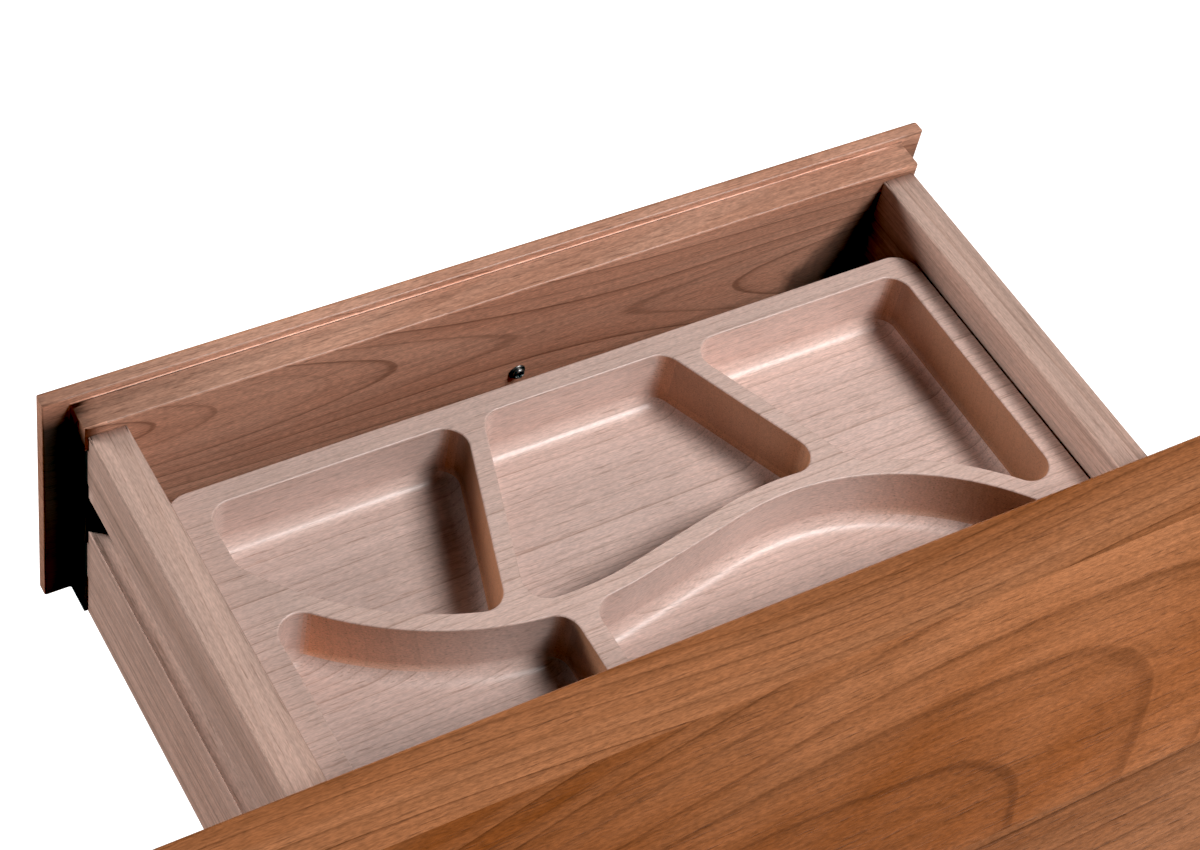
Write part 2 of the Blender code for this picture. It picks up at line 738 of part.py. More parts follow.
def case(finishes, root):
    cherry = finishes["cherry"]
    inner = INNER_WIDTH / 2
    case_side("case_side_left", -1, cherry, root)
    case_side("case_side_right", 1, cherry, root)

    rail = inner + RAIL_HOUSING - SEAT
    depth = (0, RAIL_DEPTH)
    names = ("bottom_rail", "drawer_rail_3", "drawer_rail_2", "drawer_rail_1", "top_rail")
    for name, low in zip(names, RAIL_HEIGHTS):
        thickness = TOP_RAIL_THICKNESS if name == "top_rail" else RAIL_THICKNESS
        board(name, (-rail, rail), depth, (low, low + thickness), cherry, root)

    back_rail = (PANEL_FACE - SEAT - TOP_BACK_RAIL_DEPTH, PANEL_FACE - SEAT)
    upper = (RAIL_HEIGHTS[-1], SIDE_HEIGHT)
    board("top_back_rail", (SEAT - inner, inner - SEAT), back_rail, upper, finishes["maple"], root)
    half = DIVIDER_THICKNESS / 2
    height = (RAIL_HEIGHTS[-2] + RAIL_THICKNESS + SEAT, RAIL_HEIGHTS[-1] - SEAT)
    board("centre_divider", (-half, half), (0, PANEL_FACE - SEAT), height, cherry, root)
    apron(cherry, root)
    back_panel(finishes["maple"], root)

    reach = inner + CASE_SIDE_THICKNESS + TOP_END_OVERHANG
    thickness = (SIDE_HEIGHT + SEAT, SIDE_HEIGHT + SEAT + TOP_THICKNESS)
    top = board("top_board", (-reach, reach), (-TOP_FRONT_OVERHANG, REARMOST), thickness, cherry, root)
    easing = top.modifiers.new("easing", "BEVEL")
    easing.width = TOP_EASING
    easing.segments = TOP_EASING_STEPS


def main():
    clear_scene()
    root = empty("dresser", (0, -(FOREMOST + REARMOST) / 2, 0))
    finishes = {
        "cherry": material("cherry", (0.42, 0.17, 0.06), 0.38),
        "maple": material("maple", (0.60, 0.42, 0.31), 0.42),
        "steel": material("zinc_steel", (0.30, 0.29, 0.27), 0.35, 1.0),
    }
    case(finishes, root)

    short = LIP_HEIGHTS[-1]
    left_place = (-SHORT_CENTRE, CLOSED_FACE - LEFT_DRAWER_OPEN, short)
    right_place = (SHORT_CENTRE, CLOSED_FACE, short)
    for name, place in (("drawer_left", left_place), ("drawer_right", right_place)):
        frame, size = drawer(name, SHORT_FRONT_WIDTH, SHORT_FRONT_HEIGHT, place, {"knob": 0}, finishes, root)
        knob_screw(f"{name}_knob_screw", 0, size["knob_height"], finishes["steel"], frame)
        runners(name, size, place, SHORT_OPENING, finishes["maple"], root)
        if name == "drawer_left":
            tray_cleats(size, finishes["maple"], frame)
            tray(size, finishes["maple"], frame)

    knobs = {"knob_left": -SHORT_CENTRE, "knob_right": SHORT_CENTRE}
    long_heights = (FOURTH_FRONT_HEIGHT, THIRD_FRONT_HEIGHT, SECOND_FRONT_HEIGHT)
    for number, height, lip in zip((4, 3, 2), long_heights, LIP_HEIGHTS):
        place = (0, CLOSED_FACE, lip)
        _, size = drawer(f"drawer_{number}", LONG_FRONT_WIDTH, height, place, knobs, finishes, root)
        runners(f"drawer_{number}", size, place, INNER_WIDTH, finishes["maple"], root)


main()
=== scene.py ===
"""Looks of a Shaker dresser in cherry and maple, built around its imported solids, in metres with +Z up.

X runs to the right as seen from the front and Y from front to back. Every piece is modelled where it lies at rest,
with the left short drawer open and its fitted tray in it. The camera looks at that drawer from behind.
"""

import json
import math
import random
from dataclasses import dataclass

import bmesh
import bpy
import numpy as np
from mathutils import Matrix, Vector


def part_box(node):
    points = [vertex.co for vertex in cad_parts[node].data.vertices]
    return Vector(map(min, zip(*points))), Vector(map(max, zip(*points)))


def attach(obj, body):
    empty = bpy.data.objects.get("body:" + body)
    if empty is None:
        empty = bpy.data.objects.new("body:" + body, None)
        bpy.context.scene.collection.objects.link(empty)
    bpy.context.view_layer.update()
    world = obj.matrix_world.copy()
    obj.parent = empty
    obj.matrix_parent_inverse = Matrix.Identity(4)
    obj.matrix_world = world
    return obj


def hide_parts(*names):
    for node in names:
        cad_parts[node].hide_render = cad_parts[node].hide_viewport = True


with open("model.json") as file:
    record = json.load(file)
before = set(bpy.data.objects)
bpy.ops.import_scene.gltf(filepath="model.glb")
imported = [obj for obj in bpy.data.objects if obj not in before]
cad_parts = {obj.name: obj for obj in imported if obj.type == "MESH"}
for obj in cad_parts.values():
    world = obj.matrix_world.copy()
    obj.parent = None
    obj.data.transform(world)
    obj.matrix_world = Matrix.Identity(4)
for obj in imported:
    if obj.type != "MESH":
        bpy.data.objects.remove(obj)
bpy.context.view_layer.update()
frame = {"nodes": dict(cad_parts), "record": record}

BODY_OF = {node: body for body, nodes in frame["record"]["behaviour"]["bodies"].items() for node in nodes}
SLOT_OF = {part["node"]: part["material_slot"] for part in frame["record"]["subparts"]}
X, Y, Z = range(3)

# Camera: its place, the directions to its right and downwards, its lens on a 36 mm sensor and the nearest it sees
CAMERA_PLACE = Vector((0.239884, 0.297390, 1.759565))
CAMERA_RIGHT = Vector((-0.85676159, 0.49319513, 0.15072539))
CAMERA_DOWN = Vector((0.29916261, 0.71336787, -0.63372551))
CAMERA_LENS = 78.642
CAMERA_NEAR = 0.01

# Studio: each softbox as its way from the open drawer, distance, size and power. Only the one named here shows in
# gloss. Then the picture's black level, the white backdrop and the floor
DRAWER_MIDDLE = Vector((-0.224, -0.200, 0.920))
SOFTBOXES = {
    "key": (Vector((-0.52, 0.49, 1.00)), 4.00, 1.42, 155.0),
    "back": (Vector((-0.35, 0.82, 0.26)), 2.00, 0.60, 3.0),
    "fill": (Vector((0.68, -0.68, 0.20)), 2.40, 0.80, 51.0),
    "front": (Vector((-0.65, -0.85, -0.22)), 3.20, 1.60, 75.0),
    "rear": (Vector((-0.45, 1.00, -0.25)), 3.20, 1.60, 60.0),
}
GLOSSY_SOFTBOX = "key"
BLACK_LEVEL = 0.018, 0.008, 0.006
BACKDROP_GLOW = 0.95
FLOOR_GLOW = 0.95
FLOOR_COLOUR = 0.50, 0.50, 0.50
FLOOR_ROUGHNESS = 0.9
FLOOR_SIZE = 12.0

# Easing of edges: how far each kind is rounded, and in how many steps
EASE_BOARD = 0.0008
EASE_SIDE = 0.0011
EASE_GROOVE = 0.0004
EASE_LIP = 0.0009
LIP_COVE = 0.0030
EASE_FACE = 0.0022
EASE_TOP = 0.0022
EASE_TRAY = 0.0008
EASE_STEPS = 3
SIDE_STEPS = 4
FACE_STEPS = 5
LIP_COVE_STEPS = 6
ROUND_PROFILE = 0.5

# Tests: how near points touch and are the same, angles of edges that are dissolved, eased and shaded as sharp, lengths
# of edges that are picked, the share of an edge's length along its axis, and how far a face faces a way, two ways at
# once as an eased edge does, or along the grain as an end does
TOUCH = 0.00002
MERGE = 0.00001
FLAT_ANGLE = math.radians(1)
EDGE_ANGLE = math.radians(20)
SHADE_ANGLE = math.radians(50)
LONG_EDGE = 0.050
SHORT_EDGE = 0.008
STRAIGHT_SHARE = 0.999
FACING = 0.5
EDGE_FACING = 0.3
END_FACING = 0.9

# Tones of end grain, of the worn edges of drawer sides, and of the cove behind a lip as a painted highlight
END_TONE = 0.85
WORN_TONE = 1.22
COVE_HIGHLIGHT_TONE = 1.55

# Painted shade in the rebates behind a lip's ends, nearly black where they lie in shadow: how far down it is full
# at the left and right, how far in from the body's ends it goes, and its tone
REBATE_SHADE_FADES = 0.0185, 0.0120
REBATE_SHADE_REACH = 0.010
REBATE_SHADE_TONE = 0.08

# Painted shade in the inner corner at a drawer's left end, where front and side shadow each other: how far it spreads
# along front and side for each metre below the top, the depth in which it comes to its full tone, that tone and where
# faces are cut for it
CORNER_SHADE_SPREADS = 0.95, 1.15
CORNER_SHADE_FADE = 0.008
CORNER_SHADE_TONE = 0.30
CORNER_SHADE_CUTS = 0.006, 0.012, 0.018, 0.024, 0.030, 0.038, 0.048

# Tray: the tone of its planed rims, its fall per metre towards the right, which is painted light, and how far they are
# tinted towards the palette of painted shade. Tone and fall of painted light for its routed pockets, the fall on walls
# in painted shade, the painted light that walls facing the back gain, and how strongly rings show on walls. How
# painted shade sets in as a wall turns to face right, away from the key light, and the share of a rim's easing below
# which the routed wood begins
RIM_TONE = 1.03
RIM_LIGHT_FALL = 0.35
PLANED_AGE = 0.08
ROUTED_TONE = 1.03
ROUTED_LIGHT_FALL = 0.9
SHADED_WALL_FALL = -1.4
BACK_WALL_LIGHT = 0.10
WALL_FIGURE = 0.25
WALL_SHADE_GAIN = 2.4
WALL_SHADE_START = 0.6
ROUTED_SHARE = 0.9

# Drawer fronts: how strongly rings show on the upper edge, its tone, which is painted shade on the upward faces, how
# far from its right end it darkens and by how much, and how fast the wood ages as it turns to face outwards
EDGE_FIGURE = 0.15
UPPER_SHADE_TONE = 0.90
END_REACH = 0.12
END_DEPTH = 0.34
AGE_GAIN = 2

# Drawer sides: the tone of the left ones, and how far from the pith they are sawn
LEFT_TONE = 1.10
SIDE_OFFSET = 0.16

# Pith of the open drawer's front: how far it lies from the front's middle and below its top
OPEN_PITH_SHIFT = -0.022
OPEN_PITH_DROP = 0.0385

# Top: where its boards meet, where the flamed one is richest and palest along its length, how far round and by how
# much, and the tone of the board beside it
TOP_JOINTS = -0.0805, 0.0055, 0.128, 0.245
RICH_SPOT = -0.07, 0.11
RICH_AGE = 0.42
PALE_SPOT = -0.33, 0.09
PALE_TONE = 0.24
BESIDE_TONE = 0.87

# Boards in parts that are as deep as the case, in its back and in drawer bottoms
DEEP_BOARDS = 4
BACK_BOARDS = 7
BOTTOM_BOARDS = 3

# Fineness of curves, and where the top and the fronts are cut along their length for their tones
CORNER_STEPS = 14
WAVE_STEPS = 44
COVE_STEPS = 12
RIM_STEPS = 4
TURNING_STEPS = 64
CAP_STEPS = 20
STEM_STEPS = 12
ARCH_CUTS = 5
TOP_CUTS = 40
FRONT_CUTS = 40

# Lip of the drawer fronts and the tray's rims and pockets, with the values of their solids
LIP_THICKNESS = 0.0075
LIP_TOP = 0.0035
LIP_END = 0.0119
TRAY_CORNER = 0.012
TRAY_FRONT_RIM = 0.0103
TRAY_LEFT_RIM = 0.011
TRAY_RIGHT_RIM = 0.016
TRAY_BACK_RIM = 0.012
POCKET_DEPTH = 0.031
POCKET_COVE = 0.008
POCKET_CORNER = 0.010
POCKET_WALL = 0.0083
POCKET_BACK_WALL = 0.010
FAN_RIGHT_X = 0.0465
FAN_RIGHT_LEAN = math.radians(17.7)
FAN_LEFT_X = -0.053
FAN_LEFT_LEAN = math.radians(-23.6)
BACK_WALL_X = 0.053
CREST_SHARE = 0.653
DIP_SHARE = 0.341
WAVE_AT_RIGHT = 0.0483
WAVE_AT_CREST = 0.1097
WAVE_AT_DIP = 0.0941
WAVE_AT_LEFT = 0.1626

# Painted shade in two dark corners of the tray's pockets: the corner, the lean of the wall beside it, the reach from
# that wall, and the darkest place along it and the reach there. Then their depth, and where faces are cut for them
POCKET_SHADES = (
    (FAN_RIGHT_X, TRAY_FRONT_RIM, FAN_RIGHT_LEAN, 0.013, 0.014, 0.022),
    (BACK_WALL_X, WAVE_AT_CREST, 0.0, 0.018, 0.008, 0.020),
)
POCKET_SHADE_DEPTH = 0.56
POCKET_SHADE_CUTS = (
    (0.0505, 0.0565, 0.0625, 0.0705, 0.0805, 0.0925),
    (0.0185, 0.0265, 0.0345, 0.0445, 0.0565, 0.112, 0.121, 0.132, 0.144),
)

# Knobs and their screws, with the values of their solids
KNOB_CAP_RISE = 0.009
KNOB_CAP_FALL = 0.008
KNOB_STEM = 0.011
KNOB_NECK_DIAMETER = 0.013
KNOB_FOOT_DIAMETER = 0.018
KNOB_BORE_DEPTH = 0.014
KNOB_BORE_DIAMETER = 0.0046
SCREW_DIAMETER = 0.004
SCREW_HEAD_DIAMETER = 0.008
SCREW_HEAD_HEIGHT = 0.0028
SCREW_LENGTH = 0.0347
SCREW_GAP = 0.0003

# Dome, flange and cross recess of the screws' heads
HEAD_DOME_DIAMETER = 0.0060
HEAD_FLANGE = 0.0008
HEAD_RINGS = 26
HEAD_STEPS = 96
HEAD_FULLNESS = 2.6
RECESS_DEPTH = 0.0013
RECESS_HALF_WIDTH = 0.00045
RECESS_REACH = 0.0021
RECESS_SLOPE = 0.00016

# Arches of the case sides and of the apron, with the values of their solids. Then which points count as on an arch
FOOT_LENGTH = 0.095
SIDE_ARCH_HEIGHT = 0.075
BRACKET_FOOT = 0.045
BRACKET_CURVE = 0.075
APRON_STRIP = 0.045
ARCH_INSIDE = 0.9
ARCH_SLACK = 0.001


class Graph:
    """Short ways to add nodes to a material's tree."""

    def __init__(self, name):
        self.material = bpy.data.materials.new(name)
        self.material.use_nodes = True
        self.tree = self.material.node_tree
        self.shader = self.tree.nodes["Principled BSDF"]

    def put(self, socket, value):
        if isinstance(value, bpy.types.NodeSocket):
            self.tree.links.new(value, socket)
        else:
            socket.default_value = value

    def shade(self, name, value):
        self.put(self.shader.inputs[name], value)

    def node(self, kind, values=(), **settings):
        """A node with its settings. Values go to its sockets in order, or by their names or numbers from a dict."""
        made = self.tree.nodes.new(kind)
        for key, value in settings.items():
            setattr(made, key, value)
        for socket, value in values.items() if isinstance(values, dict) else enumerate(values):
            self.put(made.inputs[socket], value)
        return made

    def math(self, operation, *values):
        return self.node("ShaderNodeMath", values, operation=operation).outputs[0]

    def times(self, first, second, *added):
        """A product, with a number added to it if there is one."""
        return self.math("MULTIPLY_ADD" if added else "MULTIPLY", first, second, *added)

    def vector(self, operation, *values):
        return self.node("ShaderNodeVectorMath", values, operation=operation).outputs[0]

    def attribute(self, name):
        return self.node("ShaderNodeAttribute", attribute_name=name).outputs["Vector"]

    def split(self, vector):
        return self.node("ShaderNodeSeparateXYZ", (vector,)).outputs

    def noise(self, place, scale, detail=2.0, roughness=0.5):
        """Noise from 0 to 1, with a scale of its own along and across the grain."""
        spot = self.vector("MULTIPLY", place, scale)
        values = {"Vector": spot, "Scale": 1.0, "Detail": detail, "Roughness": roughness}
        return self.node("ShaderNodeTexNoise", values, noise_dimensions="3D").outputs[0]

    def curve(self, value, points):
        """A smooth curve through (value, result) points."""
        made = self.node("ShaderNodeFloatCurve", {"Value": value})
        line = made.mapping.curves[0]
        line.points[0].location = points[0]
        line.points[1].location = points[-1]
        for point in points[1:-1]:
            line.points.new(*point)
        for point in line.points:
            point.handle_type = "AUTO_CLAMPED"
        made.mapping.update()
        return made.outputs[0]

    def spread(self, value, low, high):
        """A smooth step from 0 at low to 1 at high."""
        return self.node("ShaderNodeMapRange", (value, low, high), interpolation_type="SMOOTHSTEP").outputs[0]

    def mix(self, share, first, second):
        return self.node("ShaderNodeMix", {0: share, 6: first, 7: second}, data_type="RGBA").outputs[2]

    def bump(self, height, strength, distance):
        values = {"Strength": strength, "Distance": distance, "Height": height}
        self.shade("Normal", self.node("ShaderNodeBump", values).outputs[0])


def colour(red, green, blue):
    return (red, green, blue, 1.0)


# How the darkness of a growth ring and of the finer rings in it runs, and how many of these it has
RING_CURVE = (
    (0.0, 0.34), (0.03, 0.06), (0.50, 0.05), (0.80, 0.24), (0.90, 0.56), (0.955, 1.0), (0.975, 0.96), (1.0, 0.34),
)
MINOR_CURVE = ((0.0, 0.0), (0.80, 0.0), (0.93, 1.0), (1.0, 0.0))
MINOR_RINGS = 2.7

# Noise in the woods: how far seeds move boards apart in it, and its scales along and across the grain
SEED_STEP = 3.17, 7.71, 5.33
BEND_SCALE = 2.6, 11, 11
RIPPLE_SCALE = 11, 70, 70
FADING_SCALE = 7, 60, 60
PATCH_SCALE = 4, 22, 22
STREAK_SCALE = 5, 420, 420
FIBRE_SCALE = 340, 1700, 1700
FLECK_SCALE = 60, 1500, 1500
SHIMMER_SCALE = 34, 9, 9

# Rings: how much weaker their ripple is than their bend, how uneven their widths are, the share of their darkness that
# is chance, and the darkness of the finer rings and the range of noise in which they fade in
RIPPLE_PART = 9
UNEVEN_RINGS = 2.4
UNEVEN_SCALE = 0.22
CHANCE_DEPTH = 0.70
MINOR_DEPTH = 0.22
FADING_RANGE = 0.40, 0.65

# Rich patches: the parts of noise, uneven widths and chance. Then the ranges of noise in which patches and flecks set
# in, and the depth of shimmer
PATCH_PARTS = 0.50, 0.25, 0.25
PATCH_RANGE = 0.30, 0.70
FLECK_RANGE = 0.60, 0.74
SHIMMER_DEPTH = 0.16

# Finish of the woods: what streaks do to roughness, the refraction, the coat's roughness, how deep flecks lie, and the
# bump's strength and height
STREAK_ROUGHNESS = 0.16
WOOD_IOR = 1.48
COAT_ROUGHNESS = 0.28
FLECK_HEIGHT = -0.7
WOOD_BUMP = 0.16, 0.0004


def wood(name, palettes, ring_width, ring_depth, wander, fleck_depth, streak_depth, fibre_depth, roughness, coat):
    """Solid wood. It reads each corner's places in its log and on its board, and its seed, tone, age and figure.

    A palette holds pale, rich and dark wood. A second palette is for aged wood, and on the tray for painted shade,
    whose share then stands in the age's place. Age runs from 0 to 1, and what goes beyond 1 makes the wood richer."""
    g = Graph(name)
    place = g.attribute("wood")
    board = g.node("ShaderNodeAttribute", attribute_name="board").outputs
    seed, tone, age_and_shade = g.split(board["Vector"])
    seeds = g.node("ShaderNodeCombineXYZ", (seed, seed, seed)).outputs[0]
    own = g.vector("MULTIPLY_ADD", seeds, SEED_STEP, place)
    fine = g.vector("MULTIPLY_ADD", seeds, SEED_STEP, g.attribute("fibre"))

    across = g.vector("MULTIPLY", place, (0, 1, 1))
    radius = g.node("ShaderNodeVectorMath", (across,), operation="LENGTH").outputs["Value"]
    bend = g.math("SUBTRACT", g.noise(own, BEND_SCALE), 0.5)
    ripple = g.math("SUBTRACT", g.noise(own, RIPPLE_SCALE, detail=3.0, roughness=0.6), 0.5)
    radius = g.times(bend, wander, radius)
    radius = g.times(ripple, wander / RIPPLE_PART, radius)
    values = {"W": g.math("ADD", radius, seed), "Scale": UNEVEN_SCALE / ring_width, "Detail": 2.0}
    uneven = g.node("ShaderNodeTexNoise", values, noise_dimensions="1D").outputs[0]
    count = g.times(uneven, UNEVEN_RINGS, g.times(radius, 1 / ring_width))
    values = {"W": g.math("ADD", g.math("FLOOR", count), seed)}
    chance = g.node("ShaderNodeTexWhiteNoise", values, noise_dimensions="1D").outputs["Value"]
    line = g.curve(g.math("FRACT", count), RING_CURVE)
    line = g.times(line, g.times(chance, CHANCE_DEPTH, 1 - CHANCE_DEPTH))
    minor = g.curve(g.math("FRACT", g.times(count, MINOR_RINGS)), MINOR_CURVE)
    fading = g.spread(g.noise(own, FADING_SCALE), *FADING_RANGE)
    line = g.times(g.times(minor, fading), MINOR_DEPTH, line)
    line = g.times(line, board["Alpha"])

    by_noise, by_width, by_chance = PATCH_PARTS
    patch = g.noise(own, PATCH_SCALE, detail=3.0, roughness=0.55)
    patch = g.times(g.spread(patch, *PATCH_RANGE), by_noise)
    patch = g.times(g.spread(uneven, *PATCH_RANGE), by_width, patch)
    patch = g.times(chance, by_chance, patch)
    patch = g.math("ADD", g.math("MAXIMUM", g.math("SUBTRACT", age_and_shade, 1), 0), patch)
    streak = g.noise(fine, STREAK_SCALE, roughness=0.60)
    fibre = g.noise(fine, FIBRE_SCALE, detail=1.0, roughness=0.60)
    fleck = g.spread(g.noise(fine, FLECK_SCALE, detail=1.0), *FLECK_RANGE)
    shimmer = g.noise(fine, SHIMMER_SCALE)

    shades = []
    for pale, rich, dark in palettes:
        ground = g.mix(patch, pale, rich)
        ringed = g.mix(g.times(line, ring_depth), ground, dark)
        shades.append(g.mix(g.times(fleck, fleck_depth), ringed, dark))
    shade = g.mix(age_and_shade, *shades) if len(shades) > 1 else shades[0]
    light = g.times(streak, streak_depth, 1 - streak_depth / 2)
    light = g.times(light, g.times(fibre, fibre_depth, 1 - fibre_depth / 2))
    light = g.times(light, g.times(shimmer, SHIMMER_DEPTH, 1 - SHIMMER_DEPTH / 2))
    light = g.times(light, tone)
    g.shade("Base Color", g.node("ShaderNodeVectorMath", {0: shade, "Scale": light}, operation="SCALE").outputs[0])
    g.shade("Roughness", g.times(streak, STREAK_ROUGHNESS, roughness - STREAK_ROUGHNESS / 2))
    g.shade("IOR", WOOD_IOR)
    g.shade("Coat Weight", coat)
    g.shade("Coat Roughness", COAT_ROUGHNESS)
    g.bump(g.times(fleck, FLECK_HEIGHT, fibre), *WOOD_BUMP)
    return g.material


# Dark plated steel: plain and worn colour, scale of wear, least roughness, what wear adds, and bump as for the woods
PLATED_STEEL = colour(0.11, 0.108, 0.107)
WORN_STEEL = colour(0.30, 0.295, 0.284)
WEAR_SCALE = 900, 900, 900
STEEL_ROUGHNESS = 0.27
WEAR_ROUGHNESS = 0.22
STEEL_BUMP = 0.15, 0.0001


def dark_steel(name):
    """Dark plated steel with slight wear."""
    g = Graph(name)
    wear = g.noise(g.node("ShaderNodeTexCoord").outputs["Object"], WEAR_SCALE, detail=3.0)
    g.shade("Base Color", g.mix(wear, PLATED_STEEL, WORN_STEEL))
    g.shade("Roughness", g.times(wear, WEAR_ROUGHNESS, STEEL_ROUGHNESS))
    g.shade("Metallic", 1.0)
    g.bump(wear, *STEEL_BUMP)
    return g.material


def studio_floor(name):
    """A pale plain floor that glows a little, so that it stays white in the dresser's shadow."""
    g = Graph(name)
    g.shade("Base Color", colour(*FLOOR_COLOUR))
    g.shade("Roughness", FLOOR_ROUGHNESS)
    g.shade("Specular IOR Level", 0.0)
    g.shade("Emission Color", colour(1.0, 1.0, 1.0))
    g.shade("Emission Strength", FLOOR_GLOW)
    return g.material


# Palettes of pale, rich and dark wood
FRESH_CHERRY = colour(0.60, 0.332, 0.233), colour(0.49, 0.230, 0.146), colour(0.13, 0.045, 0.020)
AGED_CHERRY = colour(0.490, 0.202, 0.090), colour(0.228, 0.058, 0.007), colour(0.09, 0.025, 0.006)
MAPLE = colour(0.59, 0.408, 0.340), colour(0.51, 0.338, 0.270), colour(0.27, 0.150, 0.105)
TRAY_MAPLE = colour(0.71, 0.530, 0.470), colour(0.64, 0.465, 0.405), colour(0.36, 0.215, 0.160)
# A darker, warmer copy of the tray's maple: painted shade for walls that face away from the key light
SHADED_MAPLE = colour(0.62, 0.300, 0.165), colour(0.58, 0.268, 0.142), colour(0.25, 0.100, 0.050)

FINISHES = {
    "cherry": wood(
        "cherry", (FRESH_CHERRY, AGED_CHERRY), ring_width=0.0052, ring_depth=0.66, wander=0.006, fleck_depth=0.45,
        streak_depth=0.60, fibre_depth=0.95, roughness=0.38, coat=0.0,
    ),
    "maple": wood(
        "maple", (MAPLE,), ring_width=0.0036, ring_depth=0.45, wander=0.008, fleck_depth=0.45,
        streak_depth=1.00, fibre_depth=0.60, roughness=0.45, coat=0.0,
    ),
    "tray_maple": wood(
        "tray_maple", (TRAY_MAPLE, SHADED_MAPLE), ring_width=0.0048, ring_depth=0.62, wander=0.010, fleck_depth=0.55,
        streak_depth=0.26, fibre_depth=0.62, roughness=0.48, coat=0.40,
    ),
    "steel": dark_steel("dark_steel"),
}


def other_axis(first, second):
    """The axis that is neither of these."""
    return X + Y + Z - first - second


@dataclass
class Log:
    """How a board lies in the log that it was sawn from.

    Along and normal are the axes of its length and of its flat face. The pith runs at depth behind the middle,
    offset to the side, and moves away from the board and sideways by slope and drift along its length. Dip bends it
    towards the board on both sides of the middle. A bow, given by its size and half length, bends it sideways at the
    middle."""

    along: int
    normal: int
    middle: Vector
    depth: float
    offset: float = 0.0
    slope: float = 0.0
    drift: float = 0.0
    dip: float = 0.0
    bow: tuple = (0.0, 1.0)
    seed: float = 0.0
    tone: float = 1.0

    def lie(self, points):
        """Places along, across and through the board."""
        return (points - np.array(self.middle))[:, (self.along, other_axis(self.along, self.normal), self.normal)]

    def place(self, points):
        """Places along the log, and across it from the pith."""
        length, side, deep = self.lie(points).T
        size, reach = self.bow
        side = side - self.offset - self.drift * length - size * np.exp(-((length / reach) ** 2))
        deep = deep + self.depth + self.slope * length - self.dip * length**2
        return np.stack((length, side, deep), axis=1)


# Ranges of the logs that are drawn by chance
PITH_DEPTHS = 0.045, 0.10
PITH_OFFSET = 0.05
PITH_SLOPE = 0.07
PITH_DRIFT = 0.02
LOG_SEEDS = 0, 40
LOG_TONES = 0.93, 1.05


def random_log(name, along, normal, middle):
    """A log of its own for each board, drawn from the board's name."""
    draw = random.Random(name)
    hand = draw.choice((-1, 1))
    return Log(
        along, normal, middle,
        depth=hand * draw.uniform(*PITH_DEPTHS),
        offset=draw.uniform(-PITH_OFFSET, PITH_OFFSET),
        slope=draw.uniform(-PITH_SLOPE, PITH_SLOPE),
        drift=draw.uniform(-PITH_DRIFT, PITH_DRIFT),
        seed=draw.uniform(*LOG_SEEDS),
        tone=draw.uniform(*LOG_TONES),
    )


def read(items, name, kind=np.float32, width=1):
    """One row of numbers for each of a mesh's items, or one number where the width is 1."""
    values = np.empty(len(items) * width, kind)
    items.foreach_get(name, values)
    return values.reshape(-1, width) if width > 1 else values


def grain(mesh, logs, limits=(), look=None):
    """Writes each corner's places in its log and on its board, and its board's numbers.

    Limits part the boards, across the grain. Look takes the corners' places, the ways that their faces face and the
    middles of these, and gives tones, which hold painted light and shade in places, ages, which on the tray are
    shares of painted shade, and figures, which is how strongly the rings show."""
    points = read(mesh.vertices, "co", width=3)[read(mesh.loops, "vertex_index", np.int32)]
    totals = read(mesh.polygons, "loop_total", np.int32)
    facing = np.repeat(read(mesh.polygons, "normal", width=3), totals, axis=0)
    centre = np.repeat(read(mesh.polygons, "center", width=3), totals, axis=0)
    across = other_axis(logs[0].along, logs[0].normal)
    board = np.searchsorted(np.array(limits, float), centre[:, across])
    place, lie = np.zeros((2, *points.shape))
    numbers = np.zeros((len(points), 4))
    tones, ages_and_shades, figures = look(points, facing, centre) if look else (1.0, 1.0, 1.0)
    for number, log in enumerate(logs):
        own = board == number
        place[own] = log.place(points[own])
        lie[own] = log.lie(points[own])
        end = np.abs(facing[own, log.along]) > END_FACING
        numbers[own, 0] = log.seed
        numbers[own, 1] = log.tone * np.where(end, END_TONE, 1.0)
    numbers[:, 1] *= tones
    numbers[:, 2] = ages_and_shades
    numbers[:, 3] = figures
    for name, values in (("wood", place), ("fibre", lie)):
        made = mesh.attributes.new(name, "FLOAT_VECTOR", "CORNER")
        made.data.foreach_set("vector", values.astype(np.float32).ravel())
    made = mesh.attributes.new("board", "FLOAT_COLOR", "CORNER")
    made.data.foreach_set("color", numbers.astype(np.float32).ravel())


def piece(name, mesh, body, slot, *nodes):
    """A finished piece that rides on a body and stands for its solids."""
    made = bpy.data.objects.new(name, mesh)
    bpy.context.scene.collection.objects.link(made)
    mesh.materials.append(FINISHES[slot])
    made.modifiers.new("flat_faces", "WEIGHTED_NORMAL").keep_sharp = True
    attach(made, body)
    for node in nodes:
        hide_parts(node)


def mesh_of(work, name):
    bmesh.ops.recalc_face_normals(work, faces=work.faces)
    mesh = bpy.data.meshes.new(name)
    work.to_mesh(mesh)
    work.free()
    mesh.shade_smooth()
    mesh.set_sharp_from_angle(angle=SHADE_ANGLE)
    return mesh


def solid_of(node):
    """A working copy of the node's solid, with whole flat faces."""
    work = bmesh.new()
    work.from_mesh(frame["nodes"][node].data)
    bmesh.ops.remove_doubles(work, verts=work.verts, dist=MERGE)
    bmesh.ops.dissolve_limit(work, angle_limit=FLAT_ANGLE, verts=work.verts, edges=work.edges)
    return work


def box_of(low, high):
    work = bmesh.new()
    bmesh.ops.create_cube(work, size=1, matrix=Matrix.LocRotScale((low + high) / 2, None, high - low))
    return work


def ease(work, width, test=None, steps=EASE_STEPS):
    """Rounds the sharp edges that pass the test."""
    edges = []
    for edge in work.edges:
        if len(edge.link_faces) == 2 and edge.calc_face_angle() > EDGE_ANGLE and (test is None or test(edge)):
            edges.append(edge)
    bmesh.ops.bevel(
        work, geom=edges, offset=width, offset_type="OFFSET", segments=steps, profile=ROUND_PROFILE, affect="EDGES",
        clamp_overlap=False,
    )


